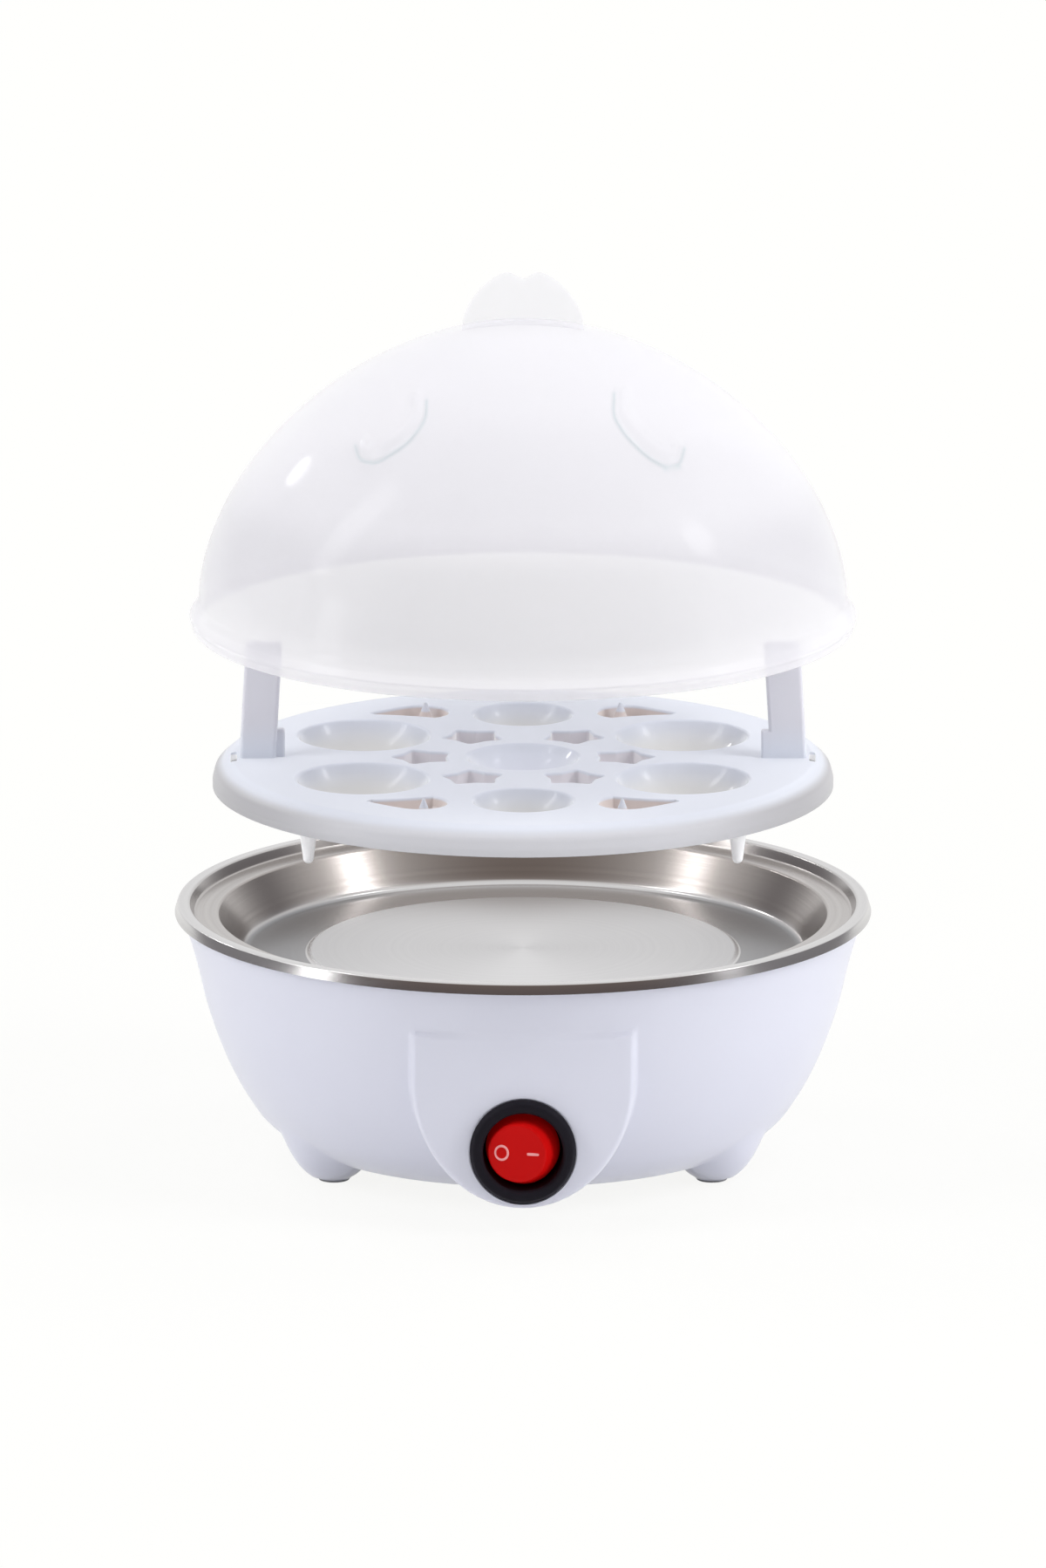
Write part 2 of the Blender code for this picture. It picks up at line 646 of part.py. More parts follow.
def make_housing(parts, cutters, material):
    """White shell: outer body, boss, feet and inlet, hollowed, with posts, ribs and lugs inside."""
    outside = body_outline(BODY_BOTTOM, BODY_TOP)
    outer = [(0.0, LIP_TOP), (BODY_TOP_RADIUS, LIP_TOP)] + outside + [(0.0, BODY_BOTTOM)]
    housing = turned("base_housing", outer, parts, material)

    shelf_bottom = SHELF_TOP - SHELF_THICKNESS
    lip_inner = BODY_TOP_RADIUS - LIP_WALL
    flange_top = BODY_BOTTOM + HOUSING_WALL
    shelf_wall = LEDGE_OUTER_RADIUS + SHEET + CLEARANCE
    wall_foot = flange_top + HOUSING_WALL / 2
    inner_wall = offset_outline(body_outline(wall_foot, shelf_bottom), HOUSING_WALL)
    inner_wall = [(radius, min(max(height, wall_foot), shelf_bottom)) for radius, height in inner_wall]
    cavity = turned("housing_cavity",
                    [(0.0, LIP_TOP + OVERRUN), (lip_inner, LIP_TOP + OVERRUN), (lip_inner, LIP_TOP),
                     (shelf_wall, SHELF_TOP), (SHELF_RADIUS, SHELF_TOP), (SHELF_RADIUS, shelf_bottom)]
                    + inner_wall
                    + [(inner_wall[-1][0], flange_top), (COVER_OPENING_RADIUS, flange_top),
                       (COVER_OPENING_RADIUS, BODY_BOTTOM - OVERRUN), (0.0, BODY_BOTTOM - OVERRUN)],
                    cutters)
    boss = boss_solid("boss_outer", 0.0, cutters)
    boss_hollow = boss_solid("boss_hollow", HOUSING_WALL, cutters)
    inlet_root = inlet_face() - INLET_LENGTH
    inlet = cylinder("inlet_pad", INLET_PAD_RADIUS, (0.0, inlet_root, INLET_HEIGHT),
                     (0.0, inlet_face(), INLET_HEIGHT), cutters, steps=CUP_STEPS)
    inlet_hollow = cylinder("inlet_hollow", INLET_PAD_RADIUS - HOUSING_WALL,
                            (0.0, inlet_root - OVERRUN, INLET_HEIGHT),
                            (0.0, inlet_face() - INLET_WALL, INLET_HEIGHT), cutters, steps=CUP_STEPS)
    combine(housing, [boss], "UNION")
    combine(housing, [cavity, boss_hollow], "DIFFERENCE")
    combine(housing, [inlet], "UNION")

    feet, hollows = [], []
    for index, angle in enumerate(FOOT_ANGLES):
        centre = polar(FOOT_CIRCLE_RADIUS, angle, FOOT_CENTRE)
        raised = centre + Vector((0.0, 0.0, FOOT_HOLLOW_RISE))
        feet.append(ball(f"foot_{index}", FOOT_RADIUS, centre, cutters, steps=CUP_STEPS))
        hollows.append(ball(f"foot_hollow_{index}", FOOT_RADIUS - HOUSING_WALL, raised, cutters,
                            steps=CUP_STEPS))
        mouth = raised + Vector((0.0, 0.0, FOOT_RADIUS + OVERRUN))
        hollows.append(cylinder(f"foot_mouth_{index}", FOOT_MOUTH_RADIUS, raised, mouth, cutters))
        pocket_top = PAD_THICKNESS + CLEARANCE
        hollows.append(cylinder(f"pad_pocket_{index}", PAD_RADIUS + CLEARANCE,
                                polar(FOOT_CIRCLE_RADIUS, angle, -OVERRUN),
                                polar(FOOT_CIRCLE_RADIUS, angle, pocket_top), cutters))
    reach = FOOT_CIRCLE_RADIUS + FOOT_RADIUS + OVERRUN
    floor = box("foot_floor", (-reach, -reach, -OVERRUN), (reach, reach, FOOT_FLAT), cutters)
    combine(housing, feet, "UNION")
    combine(housing, hollows + [floor, inlet_hollow], "DIFFERENCE")

    posts, holes = [], []
    post_bottom = COVER_TOP + CLEARANCE
    for index, angle in enumerate(COVER_POST_ANGLES):
        posts.append(cylinder(f"cover_post_{index}", COVER_POST_RADIUS,
                              polar(COVER_POST_CIRCLE_RADIUS, angle, post_bottom),
                              polar(COVER_POST_CIRCLE_RADIUS, angle, COVER_POST_TOP), cutters))
        rib = rib_outline(COVER_POST_CIRCLE_RADIUS + RIB_THICKNESS, post_bottom + HOUSING_WALL,
                          COVER_POST_TOP - RIB_THICKNESS)
        posts.append(prism(f"post_rib_{index}", rib, RIB_THICKNESS, upright_plane(angle), cutters))
        hole_top = COVER_BOTTOM + COVER_SCREW_LENGTH + CLEARANCE
        holes.append(cylinder(f"post_hole_{index}", COVER_SCREW_RADIUS + CLEARANCE,
                              polar(COVER_POST_CIRCLE_RADIUS, angle, BODY_BOTTOM - OVERRUN),
                              polar(COVER_POST_CIRCLE_RADIUS, angle, hole_top), cutters))
    for index, angle in enumerate(FOOT_ANGLES):
        lug_outer = body_radius(LUG_BOTTOM) - HOUSING_WALL / 2
        turn = Matrix.Rotation(math.radians(angle), 4, "Z")
        posts.append(box(f"lug_{index}", (LUG_INNER, -LUG_HALF_WIDTH, LUG_BOTTOM),
                         (lug_outer, LUG_HALF_WIDTH, LUG_TOP), cutters, matrix=turn))
        holes.append(cylinder(f"lug_hole_{index}", BRACKET_SCREW_RADIUS + CLEARANCE,
                              polar(bracket_screw_circle(), angle, LUG_BOTTOM - OVERRUN),
                              polar(bracket_screw_circle(), angle, LUG_TOP + OVERRUN), cutters))
    combine(housing, posts, "UNION")

    holes.append(front_cylinder("switch_seat", BEZEL_RADIUS + CLEARANCE, SEAT_FACE, SEAT_FACE + OVERRUN,
                                SWITCH_HEIGHT, cutters, steps=SWITCH_STEPS))
    holes.append(front_cylinder("switch_hole", BARREL_RADIUS + CLEARANCE, SEAT_FACE - OVERRUN,
                                SEAT_FACE + OVERRUN, SWITCH_HEIGHT, cutters, steps=CUP_STEPS))
    holes.append(cylinder("inlet_hole", GLAND_NECK_RADIUS + CLEARANCE,
                          (0.0, inlet_face() - INLET_WALL - OVERRUN, INLET_HEIGHT),
                          (0.0, inlet_face() + OVERRUN, INLET_HEIGHT), cutters, steps=CUP_STEPS))
    return combine(housing, holes, "DIFFERENCE")


def make_bottom_cover(parts, cutters, material):
    """Round plate in the housing's bottom opening, scalloped round the feet and slotted for air."""
    radius = COVER_OPENING_RADIUS - CLEARANCE
    cover = cylinder("bottom_cover", radius, (0.0, 0.0, COVER_BOTTOM), (0.0, 0.0, COVER_TOP), parts,
                     material, steps=ROUND_STEPS)
    holes = []
    low, high = COVER_BOTTOM - OVERRUN, COVER_TOP + OVERRUN
    for index, angle in enumerate(FOOT_ANGLES):
        holes.append(cylinder(f"cover_scallop_{index}", FOOT_RADIUS + CLEARANCE,
                              polar(FOOT_CIRCLE_RADIUS, angle, low), polar(FOOT_CIRCLE_RADIUS, angle, high),
                              cutters, steps=CUP_STEPS))
    for index, angle in enumerate(COVER_POST_ANGLES):
        holes.append(cylinder(f"cover_hole_{index}", COVER_SCREW_RADIUS + CLEARANCE,
                              polar(COVER_POST_CIRCLE_RADIUS, angle, low),
                              polar(COVER_POST_CIRCLE_RADIUS, angle, high), cutters))
    place = block_screw_place()
    holes.append(cylinder("cover_block_hole", COVER_SCREW_RADIUS + CLEARANCE, (place.x, place.y, low),
                          (place.x, place.y, high), cutters, steps=CUP_STEPS))
    for index in range(VENT_COUNT):
        across = (index - (VENT_COUNT - 1) / 2) * VENT_PITCH
        middle = -BLOCK_BACK / 4
        holes.append(box(f"vent_{index}", (across - VENT_WIDTH / 2, middle - VENT_LENGTH / 2, low),
                         (across + VENT_WIDTH / 2, middle + VENT_LENGTH / 2, high), cutters))
    return combine(cover, holes, "DIFFERENCE")


def screw_piece(name, centre, head_bottom, head_radius, head, radius, length, parts, cutters,
                material):
    """Pan-head screw driven upwards, with a cross slot in its head."""
    outline = [(0.0, head_bottom + head + length), (radius, head_bottom + head + length),
               (radius, head_bottom + head), (head_radius, head_bottom + head),
               (head_radius, head_bottom + head / 3), (head_radius * 0.8, head_bottom),
               (0.0, head_bottom)]
    piece = turned(name, outline, parts, material, steps=SMALL_STEPS)
    piece.location = (centre.x, centre.y, 0.0)
    reach = head_radius * 0.65
    slots = []
    for label, size in (("a", (reach, SLOT_WIDTH / 2)), ("b", (SLOT_WIDTH / 2, reach))):
        slots.append(box(f"{name}_slot_{label}",
                         (centre.x - size[0], centre.y - size[1], head_bottom - OVERRUN),
                         (centre.x + size[0], centre.y + size[1], head_bottom + SLOT_DEPTH), cutters))
    return combine(piece, slots, "DIFFERENCE")


def make_feet_and_cover_screws(parts, cutters, rubber, steel):
    """Rubber pads in the bulb feet and the screws of the bottom cover."""
    for index, angle in enumerate(FOOT_ANGLES):
        pad = cylinder(f"foot_pad_{index + 1}", PAD_RADIUS, polar(FOOT_CIRCLE_RADIUS, angle, 0.0),
                       polar(FOOT_CIRCLE_RADIUS, angle, PAD_THICKNESS), parts, rubber)
        smooth(pad)
    head_bottom = COVER_BOTTOM - CLEARANCE - COVER_SCREW_HEAD
    for index, angle in enumerate(COVER_POST_ANGLES):
        screw_piece(f"cover_screw_{index + 1}", polar(COVER_POST_CIRCLE_RADIUS, angle), head_bottom,
                    COVER_SCREW_HEAD_RADIUS, COVER_SCREW_HEAD, COVER_SCREW_RADIUS, COVER_SCREW_LENGTH,
                    parts, cutters, steel)


def make_bowl(parts, steel, rubber):
    """Drawn steel bowl with its rolled rim, and the silicone ring under its ledge."""
    bevel = SHEET
    edge = RIM_RADIUS
    ledge_bend = LEDGE_INNER_RADIUS - bevel
    visible = [(0.0, DISC_HEIGHT), (DISC_RADIUS - DISC_STEP, DISC_HEIGHT), (DISC_RADIUS, FLOOR_HEIGHT),
               (FLOOR_RADIUS - FLOOR_FILLET, FLOOR_HEIGHT), (FLOOR_RADIUS, FLOOR_HEIGHT + bevel),
               (ledge_bend, LEDGE_HEIGHT - bevel), (LEDGE_INNER_RADIUS, LEDGE_HEIGHT),
               (LEDGE_OUTER_RADIUS, LEDGE_HEIGHT), (RECESS_RADIUS, BASE_HEIGHT - bevel),
               (RECESS_RADIUS + bevel, BASE_HEIGHT), (edge - bevel, BASE_HEIGHT),
               (edge, BASE_HEIGHT - bevel), (edge, BAND_BOTTOM)]
    turned("steel_bowl", sheet_outline(visible, SHEET), parts, steel)
    inner = LEDGE_OUTER_RADIUS - SEAL_WIDTH
    turned("bowl_seal", [(LEDGE_OUTER_RADIUS, SEAL_TOP), (LEDGE_OUTER_RADIUS, SHELF_TOP + CLEARANCE),
                         (inner, SHELF_TOP + CLEARANCE), (inner, SEAL_TOP)], parts, rubber, closed=True)


def make_bowl_brackets(parts, cutters, steel):
    """Bent steel brackets under the bowl, on the housing's lugs, and their screws from below."""
    top = FLOOR_HEIGHT - SHEET - CLEARANCE
    foot = LUG_TOP + CLEARANCE
    end = bracket_screw_circle() + BRACKET_FOOT_END
    section = [(BRACKET_INNER, top), (BRACKET_BEND + BRACKET_SHEET, top),
               (BRACKET_BEND + BRACKET_SHEET, foot + BRACKET_SHEET), (end, foot + BRACKET_SHEET),
               (end, foot), (BRACKET_BEND, foot), (BRACKET_BEND, top - BRACKET_SHEET),
               (BRACKET_INNER, top - BRACKET_SHEET)]
    head_bottom = LUG_BOTTOM - CLEARANCE - BRACKET_SCREW_HEAD
    for index, angle in enumerate(FOOT_ANGLES):
        bracket = prism(f"bowl_bracket_{index + 1}", section, BRACKET_WIDTH, upright_plane(angle), parts,
                        steel)
        hole = cylinder(f"bracket_hole_{index}", BRACKET_SCREW_RADIUS + CLEARANCE,
                        polar(bracket_screw_circle(), angle, foot - OVERRUN),
                        polar(bracket_screw_circle(), angle, foot + OVERRUN), cutters)
        combine(bracket, [hole], "DIFFERENCE")
        screw_piece(f"bracket_screw_{index + 1}", polar(bracket_screw_circle(), angle), head_bottom,
                    BRACKET_SCREW_HEAD_RADIUS, BRACKET_SCREW_HEAD, BRACKET_SCREW_RADIUS,
                    BRACKET_SCREW_LENGTH, parts, cutters, steel)


def element_path():
    """Centre line of the ring element: one long arc whose two ends turn down."""
    start = 90.0 + ELEMENT_GAP_ANGLE
    sweep = 360.0 - 2 * ELEMENT_GAP_ANGLE
    path = []
    for step in range(ELEMENT_ARC_POINTS):
        angle = start + sweep * step / (ELEMENT_ARC_POINTS - 1)
        path.append(polar(ELEMENT_RING_RADIUS, angle, ELEMENT_HEIGHT))
    ends = []
    for angle, sense in ((start, -1.0), (start + sweep, 1.0)):
        corner = polar(ELEMENT_RING_RADIUS, angle, ELEMENT_HEIGHT)
        tangent = polar(1.0, angle + 90.0) * sense
        bend = []
        for step in range(1, 5):
            turn = math.pi / 2 * step / 4
            bend.append(corner + tangent * (ELEMENT_BEND * math.sin(turn))
                        - Vector((0.0, 0.0, ELEMENT_BEND * (1 - math.cos(turn)))))
        bend.append(bend[-1] - Vector((0.0, 0.0, ELEMENT_LEG - ELEMENT_BEND)))
        ends.append(bend)
    return ends[0][::-1] + path + ends[1]


def make_heater(parts, cutters, aluminium, steel, sheath, ceramic, brass):
    """Cast plate, ring element, clamping spider, thermostat and the screws that hold them."""
    boss_bottom = SPIDER_TOP + CLEARANCE
    plate = turned("heater_plate",
                   [(0.0, PLATE_TOP), (PLATE_RADIUS - PLATE_EDGE, PLATE_TOP),
                    (PLATE_RADIUS, PLATE_TOP - PLATE_EDGE), (PLATE_RADIUS, PLATE_BOTTOM),
                    (0.0, PLATE_BOTTOM)], parts, aluminium)
    bosses, holes = [], []
    for index, angle in enumerate(CLAMP_ANGLES):
        bosses.append(cylinder(f"clamp_boss_{index}", CLAMP_BOSS_RADIUS,
                               polar(CLAMP_CIRCLE_RADIUS, angle, boss_bottom),
                               polar(CLAMP_CIRCLE_RADIUS, angle, PLATE_BOTTOM + PLATE_EDGE), cutters))
        hole_top = SPIDER_BOTTOM + CLAMP_SCREW_LENGTH + CLEARANCE
        holes.append(cylinder(f"clamp_hole_{index}", M4_RADIUS + CLEARANCE,
                              polar(CLAMP_CIRCLE_RADIUS, angle, SPIDER_BOTTOM - OVERRUN),
                              polar(CLAMP_CIRCLE_RADIUS, angle, hole_top), cutters))
    groove = []
    for step in range(SMALL_STEPS):
        spot = polar(ELEMENT_RADIUS + 2 * CLEARANCE, -360.0 * step / SMALL_STEPS)
        groove.append((ELEMENT_RING_RADIUS + spot.x, ELEMENT_HEIGHT + spot.y))
    ring = turned("element_groove", groove, cutters, closed=True)
    combine(plate, bosses, "UNION")
    combine(plate, [ring] + holes, "DIFFERENCE")

    path = element_path()
    element = tube("heating_element", path, ELEMENT_RADIUS, parts, sheath)
    smooth(element)
    for label, end in (("left", path[0]), ("right", path[-1])):
        top = end - Vector((0.0, 0.0, CLEARANCE))
        box(f"element_terminal_{label}",
            (top.x - BLADE_THICKNESS / 2, top.y - BLADE_WIDTH / 2, top.z - BLADE_REACH),
            (top.x + BLADE_THICKNESS / 2, top.y + BLADE_WIDTH / 2, top.z), parts, brass)

    spider = turned("clamp_spider", [(0.0, SPIDER_TOP), (SPIDER_HUB_RADIUS, SPIDER_TOP),
                                     (SPIDER_HUB_RADIUS, SPIDER_BOTTOM), (0.0, SPIDER_BOTTOM)],
                    parts, steel, steps=CUP_STEPS)
    arms = []
    for index, angle in enumerate(CLAMP_ANGLES):
        turn = Matrix.Rotation(math.radians(angle), 4, "Z")
        arms.append(box(f"spider_arm_{index}",
                        (SPIDER_HUB_RADIUS / 2, -SPIDER_ARM_WIDTH / 2, SPIDER_BOTTOM),
                        (SPIDER_REACH, SPIDER_ARM_WIDTH / 2, SPIDER_TOP), cutters, matrix=turn))
        screw_piece(f"clamp_screw_{index + 1}", polar(CLAMP_CIRCLE_RADIUS, angle),
                    SPIDER_BOTTOM - CLEARANCE - M4_HEAD, M4_HEAD_RADIUS, M4_HEAD, M4_RADIUS,
                    CLAMP_SCREW_LENGTH, parts, cutters, steel)
    hub_hole = cylinder("spider_hub_hole", THERMOSTAT_BODY_RADIUS + CLEARANCE,
                        (0.0, 0.0, SPIDER_BOTTOM - OVERRUN), (0.0, 0.0, SPIDER_TOP + OVERRUN), cutters)
    fuse_hole = cylinder("spider_fuse_hole", FUSE_SCREW_RADIUS + CLEARANCE,
                         polar(FUSE_SCREW_CIRCLE_RADIUS, FUSE_ANGLE, SPIDER_BOTTOM - OVERRUN),
                         polar(FUSE_SCREW_CIRCLE_RADIUS, FUSE_ANGLE, SPIDER_TOP + OVERRUN), cutters)
    combine(spider, arms, "UNION")
    combine(spider, holes + [hub_hole, fuse_hole], "DIFFERENCE")

    disc_top = PLATE_BOTTOM - CLEARANCE
    disc_bottom = SPIDER_TOP + CLEARANCE
    body_bottom = SPIDER_BOTTOM - THERMOSTAT_BODY_DEPTH
    thermostat = turned("thermostat",
                        [(0.0, disc_top), (THERMOSTAT_DISC_RADIUS, disc_top),
                         (THERMOSTAT_DISC_RADIUS, disc_bottom), (THERMOSTAT_BODY_RADIUS, disc_bottom),
                         (THERMOSTAT_BODY_RADIUS, body_bottom), (0.0, body_bottom)], parts, ceramic,
                        steps=CUP_STEPS)
    blade_height = SPIDER_BOTTOM - THERMOSTAT_BLADE_DROP
    reach = THERMOSTAT_BODY_RADIUS + BLADE_REACH
    blades = box("thermostat_blades", (-reach, -BLADE_WIDTH / 2, blade_height - BLADE_THICKNESS / 2),
                 (reach, BLADE_WIDTH / 2, blade_height + BLADE_THICKNESS / 2), cutters)
    combine(thermostat, [blades], "UNION")


def make_fuse(parts, cutters, ceramic, steel):
    """Thermal fuse lying across an arm of the spider, its clip and the clip's screw."""
    height = SPIDER_BOTTOM - CLEARANCE - FUSE_RADIUS
    centre = polar(FUSE_CIRCLE_RADIUS, FUSE_ANGLE, height)
    along = polar(FUSE_LENGTH / 2, FUSE_ANGLE + 90.0)
    smooth(cylinder("thermal_fuse", FUSE_RADIUS, centre - along, centre + along, parts, ceramic))
    inner = FUSE_CIRCLE_RADIUS - FUSE_RADIUS - CLEARANCE
    outer = FUSE_CIRCLE_RADIUS + FUSE_RADIUS + CLEARANCE
    top = SPIDER_BOTTOM - CLEARANCE
    bottom = height - FUSE_RADIUS - CLEARANCE
    tab_end = outer + CLIP_SHEET + CLIP_TAB
    section = [(inner - CLIP_SHEET, top), (inner, top), (inner, bottom), (outer, bottom),
               (outer, top), (tab_end, top), (tab_end, top - CLIP_SHEET),
               (outer + CLIP_SHEET, top - CLIP_SHEET), (outer + CLIP_SHEET, bottom - CLIP_SHEET),
               (inner - CLIP_SHEET, bottom - CLIP_SHEET)]
    clip = prism("fuse_clip", section, CLIP_WIDTH, upright_plane(FUSE_ANGLE), parts, steel)
    hole = cylinder("clip_hole", FUSE_SCREW_RADIUS + CLEARANCE,
                    polar(FUSE_SCREW_CIRCLE_RADIUS, FUSE_ANGLE, top - OVERRUN),
                    polar(FUSE_SCREW_CIRCLE_RADIUS, FUSE_ANGLE, top + OVERRUN), cutters)
    combine(clip, [hole], "DIFFERENCE")
    head_bottom = top - CLIP_SHEET - CLEARANCE - FUSE_SCREW_HEAD
    screw_piece("fuse_clip_screw", polar(FUSE_SCREW_CIRCLE_RADIUS, FUSE_ANGLE), head_bottom,
                FUSE_SCREW_HEAD_RADIUS, FUSE_SCREW_HEAD, FUSE_SCREW_RADIUS, FUSE_SCREW_LENGTH,
                parts, cutters, steel)
    return [centre - along, centre + along]


def make_switch(parts, cutters, black, red, brass):
    """Round rocker switch: body, rocker resting in its off position, contact strip and blades."""
    outline = [(0.0, BEZEL_FRONT), (BEZEL_RADIUS - BEZEL_BEVEL, BEZEL_FRONT),
               (BEZEL_RADIUS, BEZEL_FRONT - BEZEL_BEVEL), (BEZEL_RADIUS, BEZEL_BACK),
               (BARREL_RADIUS, BEZEL_BACK), (BARREL_RADIUS, BARREL_END), (0.0, BARREL_END)]
    body = turned("switch_body", outline, parts, black, steps=SWITCH_STEPS)
    freeze(body)
    lift = Matrix.Translation((0.0, 0.0, SWITCH_HEIGHT))
    body.data.transform(lift @ Matrix.Rotation(math.pi / 2, 4, "X"))
    well = front_cylinder("rocker_well", ROCKER_WELL_RADIUS, WELL_FLOOR, BEZEL_FRONT + OVERRUN,
                          SWITCH_HEIGHT, cutters, steps=SWITCH_STEPS)
    pin_bore = cylinder("pin_bore", PIVOT_RADIUS + CLEARANCE,
                        (0.0, -PIVOT_FACE, SWITCH_HEIGHT - BARREL_RADIUS - OVERRUN),
                        (0.0, -PIVOT_FACE, SWITCH_HEIGHT + BARREL_RADIUS + OVERRUN), cutters)
    cuts = [well, pin_bore]
    for index, side in enumerate((-1.0, 1.0)):
        across = side * TERMINAL_OFFSET
        half = BLADE_THICKNESS / 2 + CLEARANCE
        height = BLADE_WIDTH / 2 + CLEARANCE
        cuts.append(box(f"blade_slot_{index}",
                        (across - half, -WELL_FLOOR - OVERRUN, SWITCH_HEIGHT - height),
                        (across + half, -BARREL_END + OVERRUN, SWITCH_HEIGHT + height), cutters))
    combine(body, cuts, "DIFFERENCE")

    face = ROCKER_ARM
    rocker = turned("switch_rocker", [(0.0, face), (ROCKER_FACE_RADIUS, face),
                                      (ROCKER_BASE_RADIUS, ROCKER_SKIRT),
                                      (ROCKER_BASE_RADIUS, -ROCKER_SKIRT), (0.0, -ROCKER_SKIRT)],
                    parts, red, steps=SWITCH_STEPS)
    freeze(rocker)
    rocker.data.transform(Matrix.Rotation(math.pi / 2, 4, "X"))
    pins = cylinder("rocker_pins", PIVOT_RADIUS, (0.0, 0.0, -PIVOT_REACH), (0.0, 0.0, PIVOT_REACH),
                    cutters)
    plunger_end = PIVOT_FACE - WELL_FLOOR - CONTACT_SHEET - ROCKER_SKIRT - CLEARANCE
    plunger = cylinder("rocker_plunger", PLUNGER_RADIUS, (0.0, 0.0, 0.0), (0.0, plunger_end, 0.0),
                       cutters)
    valley = prism("rocker_valley", [(-ROCKER_BASE_RADIUS, face + OVERRUN), (-ROCKER_BASE_RADIUS, face),
                                     (0.0, face - ROCKER_VALLEY), (ROCKER_BASE_RADIUS, face),
                                     (ROCKER_BASE_RADIUS, face + OVERRUN)], 3 * ROCKER_BASE_RADIUS,
                   Matrix.Rotation(math.pi, 4, "Z") @ Matrix.Rotation(math.pi, 4, "Y"), cutters)
    turn = Matrix.Rotation(-math.radians(ROCKER_TILT), 4, "Z")
    place = Matrix.Translation((0.0, -PIVOT_FACE, SWITCH_HEIGHT))
    for cutter in (pins, plunger, valley):
        cutter.matrix_world = place @ turn
    rocker.matrix_world = place @ turn
    combine(rocker, [pins, plunger], "UNION")
    combine(rocker, [valley], "DIFFERENCE")

    strip_back = WELL_FLOOR + CLEARANCE
    box("switch_contact",
        (-CONTACT_SPAN / 2, -strip_back - CONTACT_SHEET, SWITCH_HEIGHT - CONTACT_WIDTH / 2),
        (CONTACT_SPAN / 2, -strip_back, SWITCH_HEIGHT + CONTACT_WIDTH / 2), parts, brass)
    ends = []
    for label, side in (("line", -1.0), ("load", 1.0)):
        across = side * TERMINAL_OFFSET
        box(f"switch_terminal_{label}",
            (across - BLADE_THICKNESS / 2, -WELL_FLOOR, SWITCH_HEIGHT - BLADE_WIDTH / 2),
            (across + BLADE_THICKNESS / 2, -BARREL_END + BLADE_REACH, SWITCH_HEIGHT + BLADE_WIDTH / 2),
            parts, brass)
        ends.append(Vector((across, -BARREL_END + BLADE_REACH, SWITCH_HEIGHT)))
    return ends


def make_gland(parts, rubber):
    """Rubber bush in the inlet hole, with an outer flange, a neck and an inner barb."""
    neck_out = inlet_face() + CLEARANCE
    neck_in = inlet_face() - INLET_WALL - CLEARANCE
    flange_out = neck_out + GLAND_FLANGE
    barb_in = neck_in - GLAND_BARB
    outline = [(GLAND_FLANGE_RADIUS, flange_out), (GLAND_FLANGE_RADIUS, neck_out),
               (GLAND_NECK_RADIUS, neck_out), (GLAND_NECK_RADIUS, neck_in), (GLAND_BARB_RADIUS, neck_in),
               (GLAND_NECK_RADIUS, barb_in), (GLAND_BORE_RADIUS, barb_in), (GLAND_BORE_RADIUS, flange_out)]
    gland = turned("cord_gland", outline, parts, rubber, steps=CUP_STEPS, closed=True)
    freeze(gland)
    lift = Matrix.Translation((0.0, 0.0, INLET_HEIGHT))
    gland.data.transform(lift @ Matrix.Rotation(-math.pi / 2, 4, "X"))
    smooth(gland)


def block_screw_place():
    """Where the terminal block's screw stands, in the middle of the block."""
    return Vector((0.0, BLOCK_BACK - BLOCK_DEPTH / 2, 0.0))


def make_terminal_block(parts, cutters, material, steel):
    """Insulating block on the bottom cover, with two ports towards the switch, and its screw."""
    low = COVER_TOP + CLEARANCE
    front = BLOCK_BACK - BLOCK_DEPTH
    block = box("terminal_block", (-BLOCK_LENGTH / 2, front, low),
                (BLOCK_LENGTH / 2, BLOCK_BACK, low + BLOCK_HEIGHT), parts, material)
    middle = low + BLOCK_HEIGHT / 2
    cuts, ends = [], []
    for index, side in enumerate((-1.0, 1.0)):
        across = side * BLOCK_PORT_OFFSET
        for face, depth in ((front, BLOCK_PORT_DEPTH), (BLOCK_BACK, -BLOCK_PORT_DEPTH)):
            cuts.append(cylinder(f"block_port_{index}_{int(depth > 0)}", BLOCK_PORT_RADIUS,
                                 (across, face - math.copysign(OVERRUN, depth), middle),
                                 (across, face + depth, middle), cutters))
        ends.append(Vector((across, front + BLOCK_PORT_DEPTH, middle)))
    place = block_screw_place()
    head_bottom = COVER_BOTTOM - CLEARANCE - COVER_SCREW_HEAD
    screw_end = head_bottom + COVER_SCREW_HEAD + COVER_SCREW_LENGTH + CLEARANCE
    cuts.append(cylinder("block_screw_hole", COVER_SCREW_RADIUS + CLEARANCE,
                         (place.x, place.y, low - OVERRUN), (place.x, place.y, screw_end), cutters))
    combine(block, cuts, "DIFFERENCE")
    screw_piece("block_screw", place, head_bottom, COVER_SCREW_HEAD_RADIUS, COVER_SCREW_HEAD,
                COVER_SCREW_RADIUS, COVER_SCREW_LENGTH, parts, cutters, steel)
    return ends


def lead_route(*route_shares):
    """Points of a lead's route, from shares of the rim's radius and of the base's height."""
    scale = (RIM_RADIUS, RIM_RADIUS, BASE_HEIGHT)
    return [Vector(share * size for share, size in zip(point, scale)) for point in route_shares]


